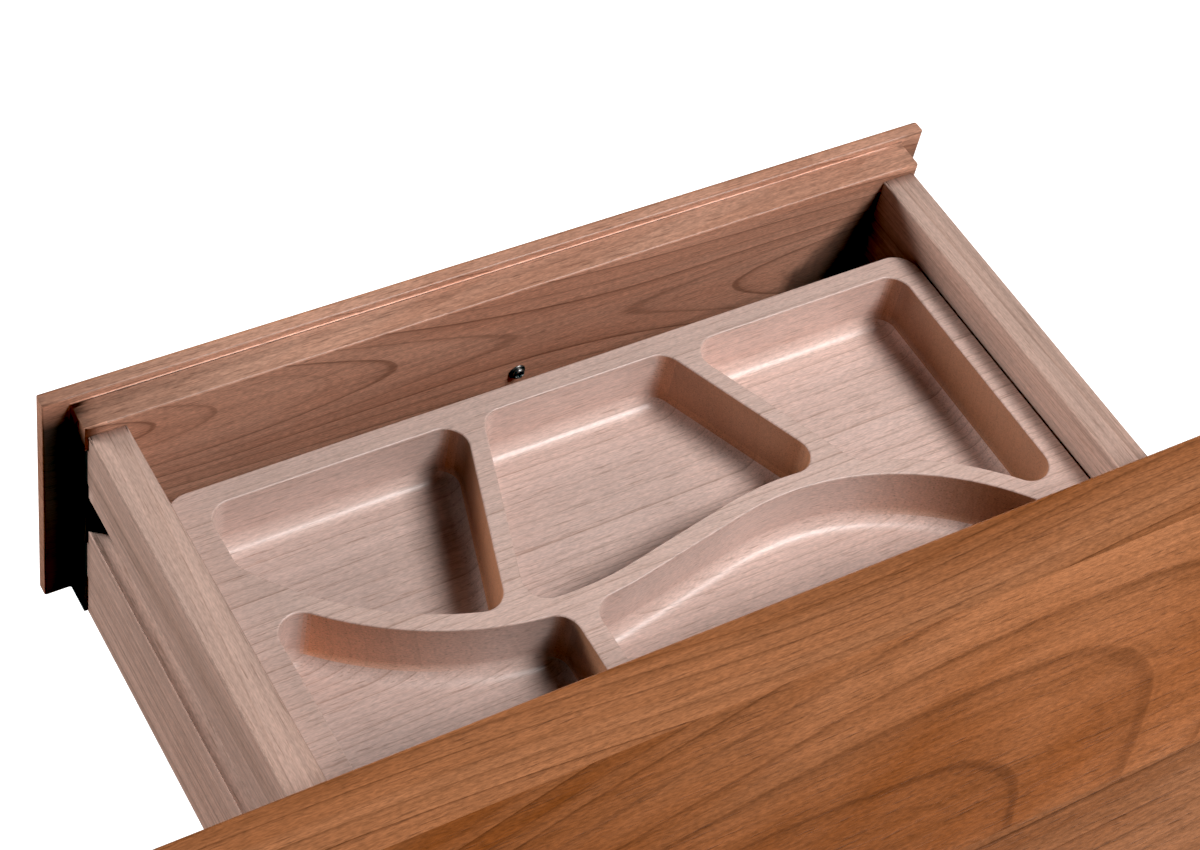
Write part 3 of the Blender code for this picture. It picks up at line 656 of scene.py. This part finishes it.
def lies_on(edge, axis, level):
    return all(abs(point.co[axis] - level) < TOUCH for point in edge.verts)


def runs_along(edge, axis, least):
    run = edge.verts[1].co - edge.verts[0].co
    return run.length > least and abs(run[axis]) > STRAIGHT_SHARE * run.length


def split_boards(work, axis, limits):
    """Cuts the faces at limits along an axis: where boards meet, so that each face belongs to one, or for tones."""
    way = Vector((axis == X, axis == Y, axis == Z))
    for limit in limits:
        everything = work.verts[:] + work.edges[:] + work.faces[:]
        bmesh.ops.bisect_plane(work, geom=everything, plane_co=way * limit, plane_no=way)


def even_limits(node, axis, boards):
    """Where boards of the same width meet in a node."""
    low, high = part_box(node)
    step = (high[axis] - low[axis]) / boards
    return [low[axis] + step * number for number in range(1, boards)]


def wooden(node, mesh, logs, limits=(), look=None):
    """Gives a wooden node's mesh its grain and makes it a piece."""
    grain(mesh, logs, limits, look)
    piece(f"{node}_wood", mesh, BODY_OF[node], SLOT_OF[node], node)


def finish(node, work, along, normal, limits=(), logs=(), look=None):
    """Makes a wooden node's working copy a piece. Boards without a log get one of their own."""
    low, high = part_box(node)
    across = other_axis(along, normal)
    split_boards(work, across, limits)
    ends = [low[across], *limits, high[across]]
    logs = list(logs)
    for number in range(len(logs), len(ends) - 1):
        middle = (low + high) / 2
        middle[across] = (ends[number] + ends[number + 1]) / 2
        logs.append(random_log(f"{node} {number}", along, normal, middle))
    wooden(node, mesh_of(work, node), logs, limits, look)


def plain_board(node, along, normal, boards=1):
    work = solid_of(node)
    ease(work, EASE_BOARD)
    finish(node, work, along, normal, even_limits(node, other_axis(along, normal), boards))


def rebate_shade(points, middle, top):
    """Tone of the painted shade behind the ends of a lip, for a body with this middle and top."""
    fade = np.where(points[:, X] < middle, *REBATE_SHADE_FADES)
    return 1 - np.clip((top - points[:, Z]) / fade, 0, 1) * (1 - REBATE_SHADE_TONE)


def painted_corner_shade(points, front, side):
    """The painted shade in a drawer's inner corner between its front and its left side, where they shadow each other.
    """
    corner = Vector((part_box(side)[1].x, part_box(front)[1].y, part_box(side)[1].z))
    away = [(points[:, axis] - corner[axis]) / spread for axis, spread in zip((X, Y), CORNER_SHADE_SPREADS)]
    depth = corner.z - points[:, Z] - np.maximum(*away)
    return 1 - np.clip(depth / CORNER_SHADE_FADE, 0, 1) * (1 - CORNER_SHADE_TONE)


def drawer_front(node, logs=()):
    """A lipped front: rounded round its face, eased at the lip and coved where the lip meets the body's top.

    It is aged on its outer face and fresh elsewhere. The cove's paleness is a painted highlight, and the upward faces
    carry painted shade that deepens towards the right. The inner corner at the left end carries painted shade. The
    rebates behind the lip's ends carry painted shade, nearly black, and less towards the top."""
    low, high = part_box(node)
    lip_back = low.y + LIP_THICKNESS
    body_top = high.z - LIP_TOP
    work = solid_of(node)
    ease(work, EASE_FACE, lambda edge: lies_on(edge, Y, low.y) and edge.calc_length() > LONG_EDGE, FACE_STEPS)
    ease(work, LIP_COVE, lambda edge: lies_on(edge, Y, lip_back) and lies_on(edge, Z, body_top), LIP_COVE_STEPS)
    ease(work, EASE_LIP, lambda edge: lies_on(edge, Y, lip_back) and edge.calc_length() > LONG_EDGE)
    ease(work, EASE_LIP, lambda edge: lies_on(edge, Y, high.y) and lies_on(edge, Z, body_top))
    left_side = node.replace("front", "side_left")
    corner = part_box(left_side)[1]
    split_boards(work, Z, [body_top - fade for fade in REBATE_SHADE_FADES] + [corner.z - cut for cut in CORNER_SHADE_CUTS])
    split_boards(work, X, even_limits(node, X, FRONT_CUTS) + [corner.x + cut for cut in CORNER_SHADE_CUTS])
    half_body = (high.x - low.x) / 2 - LIP_END - REBATE_SHADE_REACH
    middle = (low.x + high.x) / 2

    def look(points, facing, centre):
        beside = np.abs(centre[:, X] - middle) > half_body
        behind = points[:, Y] > lip_back - EASE_LIP / 2
        bare = (centre[:, Y] > high.y - TOUCH) & (centre[:, Z] > body_top - max(REBATE_SHADE_FADES))
        inside = beside & behind & ~bare & (centre[:, Z] < body_top - TOUCH)
        # Painted highlight on the cove behind the lip
        cove_highlight = (facing[:, Y] > EDGE_FACING) & (facing[:, Z] > EDGE_FACING)
        cove_highlight &= (centre[:, Y] < lip_back + LIP_COVE) & (centre[:, Z] < body_top + LIP_COVE)
        upper = facing[:, Z] > FACING
        # Painted shade on the upward faces, deeper towards the right end
        ending = np.clip((points[:, X] - high.x) / END_REACH + 1, 0, 1)
        tone = np.where(cove_highlight, COVE_HIGHLIGHT_TONE, np.where(upper, UPPER_SHADE_TONE * (1 - END_DEPTH * ending), 1.0))
        # Painted shade in the inner corner at the left end
        tone = np.where(facing[:, Y] > FACING, tone * painted_corner_shade(points, node, left_side), tone)
        # Painted shade, nearly black, in the rebates behind the lip's ends
        tone = np.where(inside, rebate_shade(points, middle, body_top), tone)
        return tone, np.clip(-AGE_GAIN * facing[:, Y], 0, 1), np.where(upper, EDGE_FIGURE, 1.0)

    finish(node, work, X, Y, logs=logs, look=look)


def drawer_side(node, front):
    """A dovetailed side with worn upper edges, and painted shade in the left side's inner corner with the front.

    Its tails show behind the ends of the front's lip, so they carry the same painted shade."""
    low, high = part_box(node)
    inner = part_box(front)[1]
    work = solid_of(node)

    def outer(edge):
        return lies_on(edge, Z, high.z) or lies_on(edge, Z, low.z)

    ease(work, EASE_SIDE, lambda edge: runs_along(edge, Y, SHORT_EDGE) and outer(edge), SIDE_STEPS)
    ease(work, EASE_GROOVE, lambda edge: runs_along(edge, Y, LONG_EDGE) and edge.is_convex)
    split_boards(work, Y, [inner.y] + [inner.y + cut for cut in CORNER_SHADE_CUTS])
    split_boards(work, Z, [high.z - cut for cut in CORNER_SHADE_CUTS])

    def look(points, facing, centre):
        middle = (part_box(front)[0].x + inner.x) / 2
        worn = (np.abs(facing[:, X]) > EDGE_FACING) & (facing[:, Z] > EDGE_FACING)
        tone = np.where(worn, WORN_TONE, 1.0)
        # Painted shade in the left side's inner corner with the front
        inside = (facing[:, X] > FACING) & (high.x < middle)
        tone = np.where(inside, tone * painted_corner_shade(points, front, node), tone)
        # The tails behind the lip's ends take the rebates' painted shade
        return np.where(centre[:, Y] < inner.y, rebate_shade(points, middle, inner.z - LIP_TOP), tone), 1.0, 1.0

    log = random_log(node, Y, X, (low + high) / 2)
    log.offset += SIDE_OFFSET
    log.tone *= LEFT_TONE if node.endswith("left") else 1.0
    finish(node, work, Y, X, logs=[log], look=look)


def round_out(work, axis, centre, reach, height, mirrored):
    """Refines the coarse elliptic arch of a working copy, which springs from the floor."""

    def share(point):
        along = abs(point.co[axis]) if mirrored else point.co[axis]
        return Vector(((along - centre) / reach, point.co.z / height))

    def arched(point):
        spot = share(point)
        return ARCH_INSIDE < spot.length < 1 + ARCH_SLACK and (not mirrored or spot.x > -ARCH_SLACK)

    edges = []
    for edge in work.edges:
        run = edge.verts[1].co - edge.verts[0].co
        one_arch = not mirrored or edge.verts[0].co[axis] * edge.verts[1].co[axis] > 0
        if one_arch and abs(run[axis]) > TOUCH and all(arched(point) for point in edge.verts):
            edges.append(edge)
    made = bmesh.ops.subdivide_edges(work, edges=edges, cuts=ARCH_CUTS, use_grid_fill=True)
    for point in made["geom_inner"]:
        if isinstance(point, bmesh.types.BMVert):
            spot = share(point).normalized()
            along = centre + reach * spot.x
            point.co[axis] = math.copysign(along, point.co[axis]) if mirrored else along
            point.co.z = height * spot.y


def case_side(node, outer):
    """A side of the case with its arch, eased round its outer face and at its feet."""
    low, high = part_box(node)
    middle = (low.y + high.y) / 2
    work = solid_of(node)
    round_out(work, Y, middle, middle - low.y - FOOT_LENGTH, SIDE_ARCH_HEIGHT, False)
    ease(work, EASE_BOARD, lambda edge: lies_on(edge, X, outer) or lies_on(edge, Z, low.z))
    finish(node, work, Z, X, even_limits(node, Y, DEEP_BOARDS))


def apron(node):
    """The apron with its two bracket curves, eased at its front and back."""
    low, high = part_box(node)
    strip = high.z - APRON_STRIP
    work = solid_of(node)
    round_out(work, X, high.x - BRACKET_FOOT - BRACKET_CURVE, BRACKET_CURVE, strip, True)
    ease(work, EASE_BOARD, lambda edge: lies_on(edge, Y, low.y) or lies_on(edge, Y, high.y))
    finish(node, work, X, Y)


def quarter(start, stop, steps, bulge_first):
    """Points of a quarter ellipse after start and up to stop, which leaves along the first or second axis."""
    points = []
    for i in range(1, steps + 1):
        angle = math.pi / 2 * i / steps
        lead, lag = math.sin(angle), 1 - math.cos(angle)
        first, second = (lead, lag) if bulge_first else (lag, lead)
        points.append((start[0] + (stop[0] - start[0]) * first, start[1] + (stop[1] - start[1]) * second))
    return points


def bridge(work, ring, following):
    for i, point in enumerate(ring):
        j = (i + 1) % len(ring)
        work.faces.new((point, ring[j], following[j], following[i]))


def fan(work, point, ring):
    for i, near in enumerate(ring):
        work.faces.new((point, near, ring[(i + 1) % len(ring)]))


def turned(name, profile, steps, x, y, z, hand, sink=None):
    """A piece turned about Y from (radius, height) points, the top one first. Hand is the way its top points."""
    work = bmesh.new()
    rings = []
    for radius, height in profile:
        ring = []
        for step in range(steps if radius else 1):
            angle = 2 * math.pi * step / steps
            right, up = radius * math.cos(angle), radius * math.sin(angle)
            lowered = height - sink(right, up) if sink and height > 0 else height
            ring.append(work.verts.new((x + right, y + hand * lowered, z + up)))
        rings.append(ring)
    fan(work, rings[0][0], rings[1])
    for ring, following in zip(rings[1:], rings[2:-1]):
        bridge(work, ring, following)
    fan(work, rings[-1][0], rings[-2])
    return mesh_of(work, name)


def knob(node):
    """A turned knob with a bore for its screw."""
    low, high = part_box(node)
    middle = (low + high) / 2
    rim = (high.x - low.x) / 2
    neck = KNOB_NECK_DIAMETER / 2
    foot = KNOB_FOOT_DIAMETER / 2
    bore = KNOB_BORE_DIAMETER / 2
    rim_height = KNOB_STEM + KNOB_CAP_FALL
    top = rim_height + KNOB_CAP_RISE
    profile = [(0, top)]
    profile += quarter((0, top), (rim, rim_height), CAP_STEPS, True)
    profile += quarter((rim, rim_height), (neck, KNOB_STEM), STEM_STEPS, False)
    profile += quarter((neck, KNOB_STEM), (foot, 0), STEM_STEPS, False)
    profile += [(bore, 0), (bore, KNOB_BORE_DEPTH), (0, KNOB_BORE_DEPTH)]
    mesh = turned(node, profile, TURNING_STEPS, middle.x, high.y, middle.z, -1)
    wooden(node, mesh, [random_log(node, X, Y, middle)])


def recess(right, up):
    """How deep the cross recess of a screw's head is at a place on it."""
    arm = RECESS_HALF_WIDTH - min(abs(right), abs(up))
    reach = RECESS_REACH - max(abs(right), abs(up))
    return RECESS_DEPTH * min(max(min(arm, reach) / RECESS_SLOPE + 0.5, 0), 1)


def knob_screw(name, x, head_y, z, body, *nodes):
    """The screw that holds a knob from inside the drawer, with a domed head on a flange."""
    head = SCREW_HEAD_DIAMETER / 2
    dome = HEAD_DOME_DIAMETER / 2
    shank = SCREW_DIAMETER / 2
    profile = [(0, SCREW_HEAD_HEIGHT)]
    for ring in range(1, HEAD_RINGS + 1):
        share = math.sin(math.pi / 2 * ring / HEAD_RINGS)
        rise = (SCREW_HEAD_HEIGHT - HEAD_FLANGE) * max(1 - share**HEAD_FULLNESS, 0) ** (1 / HEAD_FULLNESS)
        profile.append((dome * share, HEAD_FLANGE + rise))
    profile += quarter((head - HEAD_FLANGE, HEAD_FLANGE), (head, 0), STEM_STEPS, True)
    profile += [(shank, 0), (shank, -SCREW_LENGTH), (0, -SCREW_LENGTH)]
    mesh = turned(name, profile, HEAD_STEPS, x, head_y, z, 1, recess)
    piece(name, mesh, body, "steel", *nodes)


class Straight:
    """A straight rim of a pocket, with the normal that points into the pocket."""

    def __init__(self, point, normal):
        self.normal = Vector(normal).normalized()
        self.level = self.normal.dot(Vector(point))

    def outward(self, _):
        return -self.normal

    def between(self, start, stop, steps):
        return []


@dataclass
class Round:
    """A round rim of a pocket, on the back half (1) or front half (-1) of a circle.

    The pocket lies outside the circle (side 1) or inside it (side -1)."""

    centre: Vector
    radius: float
    side: int
    half: int

    def outward(self, point):
        return (self.centre - point).normalized() * self.side

    def between(self, start, stop, steps):
        """Points on the circle about the same centre between two of its points, the short way round."""
        first, last = start - self.centre, stop - self.centre
        sweep = first.angle_signed(last)
        points = []
        for i in range(1, steps):
            turn = sweep * i / steps
            cos, sin = math.cos(turn), -math.sin(turn)
            spin = Vector((first.x * cos - first.y * sin, first.x * sin + first.y * cos))
            points.append(self.centre + spin)
        return points


def corner_centre(first, second, radius):
    """The centre of the fillet between two rims, the same for every level of the pocket."""
    if isinstance(first, Round):
        first, second = second, first
    level = first.level + radius
    along = Vector((-first.normal.y, first.normal.x))
    if isinstance(second, Round):
        height = level - first.normal.dot(second.centre)
        reach = math.sqrt((second.radius + second.side * radius) ** 2 - height**2)
        foot = second.centre + first.normal * height
        return foot + along * math.copysign(reach, along.y * second.half)
    other = second.level + radius
    across = along.dot(second.normal)
    foot = first.normal * level
    return foot + along * (other - second.normal.dot(foot)) / across


def pocket_outline(rims, joins, inset):
    """A pocket's rim, anticlockwise from above, moved in by inset. Joins are the smooth meeting points."""
    corners = []
    for i, rim in enumerate(rims):
        following = rims[(i + 1) % len(rims)]
        if i in joins:
            corners.append([joins[i] - rim.outward(joins[i]) * inset])
            continue
        centre = corner_centre(rim, following, POCKET_CORNER)
        start = rim.outward(centre)
        sweep = -start.angle_signed(following.outward(centre))
        arc = []
        for step in range(CORNER_STEPS + 1):
            turn = math.atan2(start.y, start.x) + sweep * step / CORNER_STEPS
            arc.append(centre + Vector((math.cos(turn), math.sin(turn))) * (POCKET_CORNER - inset))
        corners.append(arc)
    points = []
    for i, rim in enumerate(rims):
        points += rim.between(corners[i - 1][-1], corners[i][0], WAVE_STEPS)
        points += corners[i]
    return points


def leaning_wall(x, lean):
    """The two rims of a fanned wall, on its right and on its left."""
    point = Vector((x, TRAY_FRONT_RIM))
    normal = Vector((math.cos(lean), -math.sin(lean)))
    half = normal * POCKET_WALL / 2
    return Straight(point + half, normal), Straight(point - half, -normal)


def bow_radius(reach, sagitta):
    """The radius of an arc that falls by sagitta over reach, from where it is level."""
    return (reach**2 + sagitta**2) / (2 * sagitta)


def tray_pockets(half_width, length):
    """The five pockets, each as its rims in order and its smooth joins."""
    half = POCKET_WALL / 2
    right_x = half_width - TRAY_RIGHT_RIM
    left_x = TRAY_LEFT_RIM - half_width
    crest_x = left_x + CREST_SHARE * (right_x - left_x)
    dip_x = left_x + DIP_SHARE * (right_x - left_x)
    crest_radius = bow_radius(right_x - crest_x, WAVE_AT_CREST - WAVE_AT_RIGHT)
    dip_radius = bow_radius(dip_x - left_x, WAVE_AT_LEFT - WAVE_AT_DIP)
    crest = Vector((crest_x, WAVE_AT_CREST - crest_radius))
    dip = Vector((dip_x, WAVE_AT_DIP + dip_radius))
    heading = math.atan2(dip.y - crest.y, dip.x - crest.x)
    heading -= math.acos((crest_radius + dip_radius) / (dip - crest).length)
    rise = Vector((math.cos(heading), math.sin(heading)))
    leave = crest + rise * crest_radius
    arrive = dip - rise * dip_radius

    front = Straight((0, TRAY_FRONT_RIM), (0, 1))
    back = Straight((0, length - TRAY_BACK_RIM), (0, -1))
    right = Straight((right_x, 0), (-1, 0))
    left = Straight((left_x, 0), (1, 0))
    right_fan = leaning_wall(FAN_RIGHT_X, FAN_RIGHT_LEAN)
    left_fan = leaning_wall(FAN_LEFT_X, FAN_LEFT_LEAN)
    back_wall_right = Straight((BACK_WALL_X + POCKET_BACK_WALL / 2, 0), (1, 0))
    back_wall_left = Straight((BACK_WALL_X - POCKET_BACK_WALL / 2, 0), (-1, 0))

    crest_inside = Round(crest, crest_radius - half, -1, 1)
    crest_outside = Round(crest, crest_radius + half, 1, 1)
    dip_inside = Round(dip, dip_radius - half, -1, -1)
    dip_outside = Round(dip, dip_radius + half, 1, -1)
    slope_front = Straight(leave - rise * half, -rise)
    slope_back = Straight(leave + rise * half, rise)
    return [
        ([front, right, crest_inside, right_fan[0]], {}),
        (
            [front, right_fan[1], crest_inside, slope_front, dip_outside, left_fan[0]],
            {2: leave - rise * half, 3: arrive - rise * half},
        ),
        ([front, left_fan[1], dip_outside, left], {}),
        ([crest_outside, right, back, back_wall_right], {}),
        (
            [dip_inside, slope_back, crest_outside, back_wall_left, back, left],
            {0: arrive + rise * half, 1: leave + rise * half},
        ),
    ]


def tray_outline(half_width, length, inset):
    """The tray's outer edge, anticlockwise from above, moved in by inset."""
    outline = []
    for hand, far, quadrant in ((1, 1, 0), (-1, 1, 1), (-1, 0, 2), (1, 0, 3)):
        centre_x = hand * (half_width - TRAY_CORNER)
        centre_y = length - TRAY_CORNER if far else TRAY_CORNER
        for step in range(CORNER_STEPS + 1):
            angle = math.pi / 2 * (quadrant + step / CORNER_STEPS)
            reach = TRAY_CORNER - inset
            outline.append(Vector((centre_x + reach * math.cos(angle), centre_y + reach * math.sin(angle))))
    return outline


def rounded(radius, steps):
    """(inset, drop) pairs down a rounded edge, from the flat face to the wall."""
    turns = [math.pi / 2 * step / steps for step in range(steps + 1)]
    return [(radius * (1 - math.sin(turn)), radius * (1 - math.cos(turn))) for turn in turns]


def tray(node):
    """The fitted tray with all its edges eased and its pockets routed smooth.

    Walls that face right, away from the key light, take a darker, warmer copy of the maple as painted shade. Two
    pocket corners carry painted shade, and painted light falls off across the tray and brightens walls facing back."""
    low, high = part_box(node)
    half_width = (high.x - low.x) / 2
    length = high.y - low.y
    thickness = high.z - low.z
    middle = Vector(((low.x + high.x) / 2, low.y, high.z))
    work = bmesh.new()

    def rings(outline, levels):
        made = []
        for inset, drop in levels:
            points = [middle + Vector((*point, -drop)) for point in outline(inset)]
            made.append([work.verts.new(point) for point in points])
        for ring, following in zip(made, made[1:]):
            bridge(work, ring, following)
        return made

    edge = rounded(EASE_TRAY, RIM_STEPS)
    below = [(inset, thickness - drop) for inset, drop in reversed(edge)]
    sides = rings(lambda inset: tray_outline(half_width, length, inset), edge + below)
    work.faces.new(sides[-1])
    loops = [sides[0]]
    levels = [(-inset, drop) for inset, drop in edge]
    levels += [(inset, POCKET_DEPTH - rise) for rise, inset in rounded(POCKET_COVE, COVE_STEPS)]
    for rims, joins in tray_pockets(half_width, length):
        walls = rings(lambda inset: pocket_outline(rims, joins, inset), levels)
        work.faces.new(walls[-1])
        loops.append(walls[0])
    border = []
    for loop in loops:
        for i, point in enumerate(loop):
            border.append(work.edges.get((point, loop[i - 1])))
    bmesh.ops.triangle_fill(work, edges=border, use_beauty=True)
    split_boards(work, X, [middle.x + cut for cut in POCKET_SHADE_CUTS[0]])
    split_boards(work, Y, [middle.y + cut for cut in POCKET_SHADE_CUTS[1]])

    def look(points, facing, centre):
        inside = (points[:, X] < high.x - TRAY_LEFT_RIM / 2) & (points[:, Z] < high.z - ROUTED_SHARE * EASE_TRAY)
        upright = np.abs(facing[:, Z]) < FACING
        # Walls that face right, away from the key light, take the palette of painted shade
        wall_shade = np.clip(WALL_SHADE_GAIN * facing[:, X] - WALL_SHADE_START, 0, 1) * upright
        aside = points[:, X] - middle.x
        # Painted light on walls that face the back
        lit_back = BACK_WALL_LIGHT * np.clip(facing[:, Y], 0, 1)
        # Painted light falls off across the tray, and runs the other way on walls in painted shade
        fade = ROUTED_LIGHT_FALL + (SHADED_WALL_FALL - ROUTED_LIGHT_FALL) * wall_shade
        routed = ROUTED_TONE - fade * aside + lit_back
        # Painted shade in two pocket corners
        for x, y, lean, reach, place, spread in POCKET_SHADES:
            ahead = points[:, Y] - middle.y - y
            off = (aside - x) * math.cos(lean) - ahead * math.sin(lean)
            pocket_shade = np.exp(-((off / reach) ** 2) - ((ahead - place) / spread) ** 2)
            routed *= 1 - POCKET_SHADE_DEPTH * pocket_shade * ((off > 0) & (ahead > 0))
        # The rims get their own painted fall of light
        tone = np.where(inside, routed, RIM_TONE - RIM_LIGHT_FALL * aside)
        return tone, np.where(inside, wall_shade, PLANED_AGE), np.where(inside & upright, WALL_FIGURE, 1.0)

    log = Log(X, Z, middle, depth=0.06, offset=-0.22, drift=0.01, seed=11.0)
    wooden(node, mesh_of(work, node), [log], look=look)


def top_board(node):
    """The top, glued up from five boards. The second shows a flame of grain, and the third is a little darker."""
    low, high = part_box(node)
    work = box_of(low, high)
    ease(work, EASE_TOP, steps=FACE_STEPS)
    split_boards(work, X, even_limits(node, X, TOP_CUTS))
    flame_from, flame_to, beside_to, _ = TOP_JOINTS
    bowed = Log(X, Z, (-0.240, flame_from, high.z), depth=0.06, offset=0.07, bow=(0.012, 0.13), seed=1.3)
    flame = Log(X, Z, (-0.332, -0.032, high.z), depth=0.1184, slope=-0.075, drift=0.245, seed=1.3)

    def look(points, facing, centre):
        rich, pale = [np.exp(-(((points[:, X] - at) / reach) ** 2)) for at, reach in (RICH_SPOT, PALE_SPOT)]
        flamed = (centre[:, Y] > flame_from) & (centre[:, Y] < flame_to)
        beside = (centre[:, Y] > flame_to) & (centre[:, Y] < beside_to)
        tone = np.where(flamed, 1 + PALE_TONE * pale, np.where(beside, BESIDE_TONE, 1.0))
        return tone, np.where(flamed, 1 + RICH_AGE * rich, 1.0), 1.0

    finish(node, work, X, Z, TOP_JOINTS, [bowed, flame], look)


def open_front(node):
    """The front of the open drawer, with arched grain on its inner face."""
    low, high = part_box(node)
    middle = ((low.x + high.x) / 2 + OPEN_PITH_SHIFT, high.y, high.z - OPEN_PITH_DROP)
    drawer_front(node, [Log(X, Y, middle, depth=0.0316, dip=0.60, drift=0.12, seed=8.0, tone=1.12)])


def build():
    """Makes every piece."""
    top_board("top_board")
    case_side("case_side_left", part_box("case_side_left")[0].x)
    case_side("case_side_right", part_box("case_side_right")[1].x)
    apron("apron")
    for name in ("top_rail", "drawer_rail_1", "drawer_rail_2", "drawer_rail_3", "bottom_rail", "top_back_rail"):
        plain_board(name, X, Z)
    plain_board("centre_divider", Z, X, DEEP_BOARDS)
    plain_board("back_panel", Z, Y, BACK_BOARDS)
    plain_board("tray_cleat_left", Y, X)
    plain_board("tray_cleat_right", Y, X)
    tray("tray")
    open_front("drawer_left_front")
    for drawer in ("drawer_left", "drawer_right", "drawer_2", "drawer_3", "drawer_4"):
        if drawer != "drawer_left":
            drawer_front(f"{drawer}_front")
        for end in ("left", "right"):
            drawer_side(f"{drawer}_side_{end}", f"{drawer}_front")
            plain_board(f"runner_{drawer}_{end}", Y, X)
        plain_board(f"{drawer}_back", X, Y)
        plain_board(f"{drawer}_bottom", X, Z, BOTTOM_BOARDS)
        head_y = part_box(f"{drawer}_front")[1].y + SCREW_GAP
        for node in frame["nodes"]:
            if node.startswith(f"{drawer}_knob") and not node.endswith("screw"):
                knob(node)
                low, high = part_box(node)
                middle = (low + high) / 2
                screw = f"{node}_screw"
                nodes = [screw] if screw in frame["nodes"] else []
                knob_screw(f"{screw}_steel", middle.x, head_y, middle.z, BODY_OF[node], *nodes)


def stage():
    """Makes the floor, the backdrop, the lights and the camera."""
    scene = bpy.context.scene
    work = bmesh.new()
    bmesh.ops.create_grid(work, x_segments=1, y_segments=1, size=FLOOR_SIZE / 2)
    mesh = bpy.data.meshes.new("floor")
    work.to_mesh(mesh)
    work.free()
    mesh.materials.append(studio_floor("studio_floor"))
    floor = bpy.data.objects.new("floor", mesh)
    floor.visible_diffuse = False
    floor.visible_glossy = False
    scene.collection.objects.link(floor)

    world = bpy.data.worlds.new("studio")
    scene.world = world
    world.use_nodes = True
    backdrop = world.node_tree.nodes["Background"].inputs
    backdrop["Color"].default_value = colour(1.0, 1.0, 1.0)
    backdrop["Strength"].default_value = BACKDROP_GLOW
    world.cycles_visibility.diffuse = False
    world.cycles_visibility.glossy = False

    for name, (way, distance, size, power) in SOFTBOXES.items():
        lamp = bpy.data.lights.new(name, "AREA")
        lamp.shape = "SQUARE"
        lamp.size = size
        lamp.energy = power
        softbox = bpy.data.objects.new(name, lamp)
        softbox.visible_glossy = name == GLOSSY_SOFTBOX
        softbox.location = DRAWER_MIDDLE + way.normalized() * distance
        softbox.rotation_euler = way.to_track_quat("Z", "Y").to_euler()
        scene.collection.objects.link(softbox)

    lens = bpy.data.cameras.new("camera")
    lens.sensor_fit = "HORIZONTAL"
    lens.lens = CAMERA_LENS
    lens.clip_start = CAMERA_NEAR
    camera = bpy.data.objects.new("camera", lens)
    turn = Matrix((CAMERA_RIGHT, -CAMERA_DOWN, -CAMERA_RIGHT.cross(CAMERA_DOWN))).transposed()
    camera.matrix_world = Matrix.Translation(CAMERA_PLACE) @ turn.to_4x4()
    scene.collection.objects.link(camera)
    scene.camera = camera
    view = scene.view_settings
    view.view_transform = "Standard"
    view.use_curve_mapping = True
    view.curve_mapping.black_level = BLACK_LEVEL
    view.curve_mapping.update()


build()
stage()
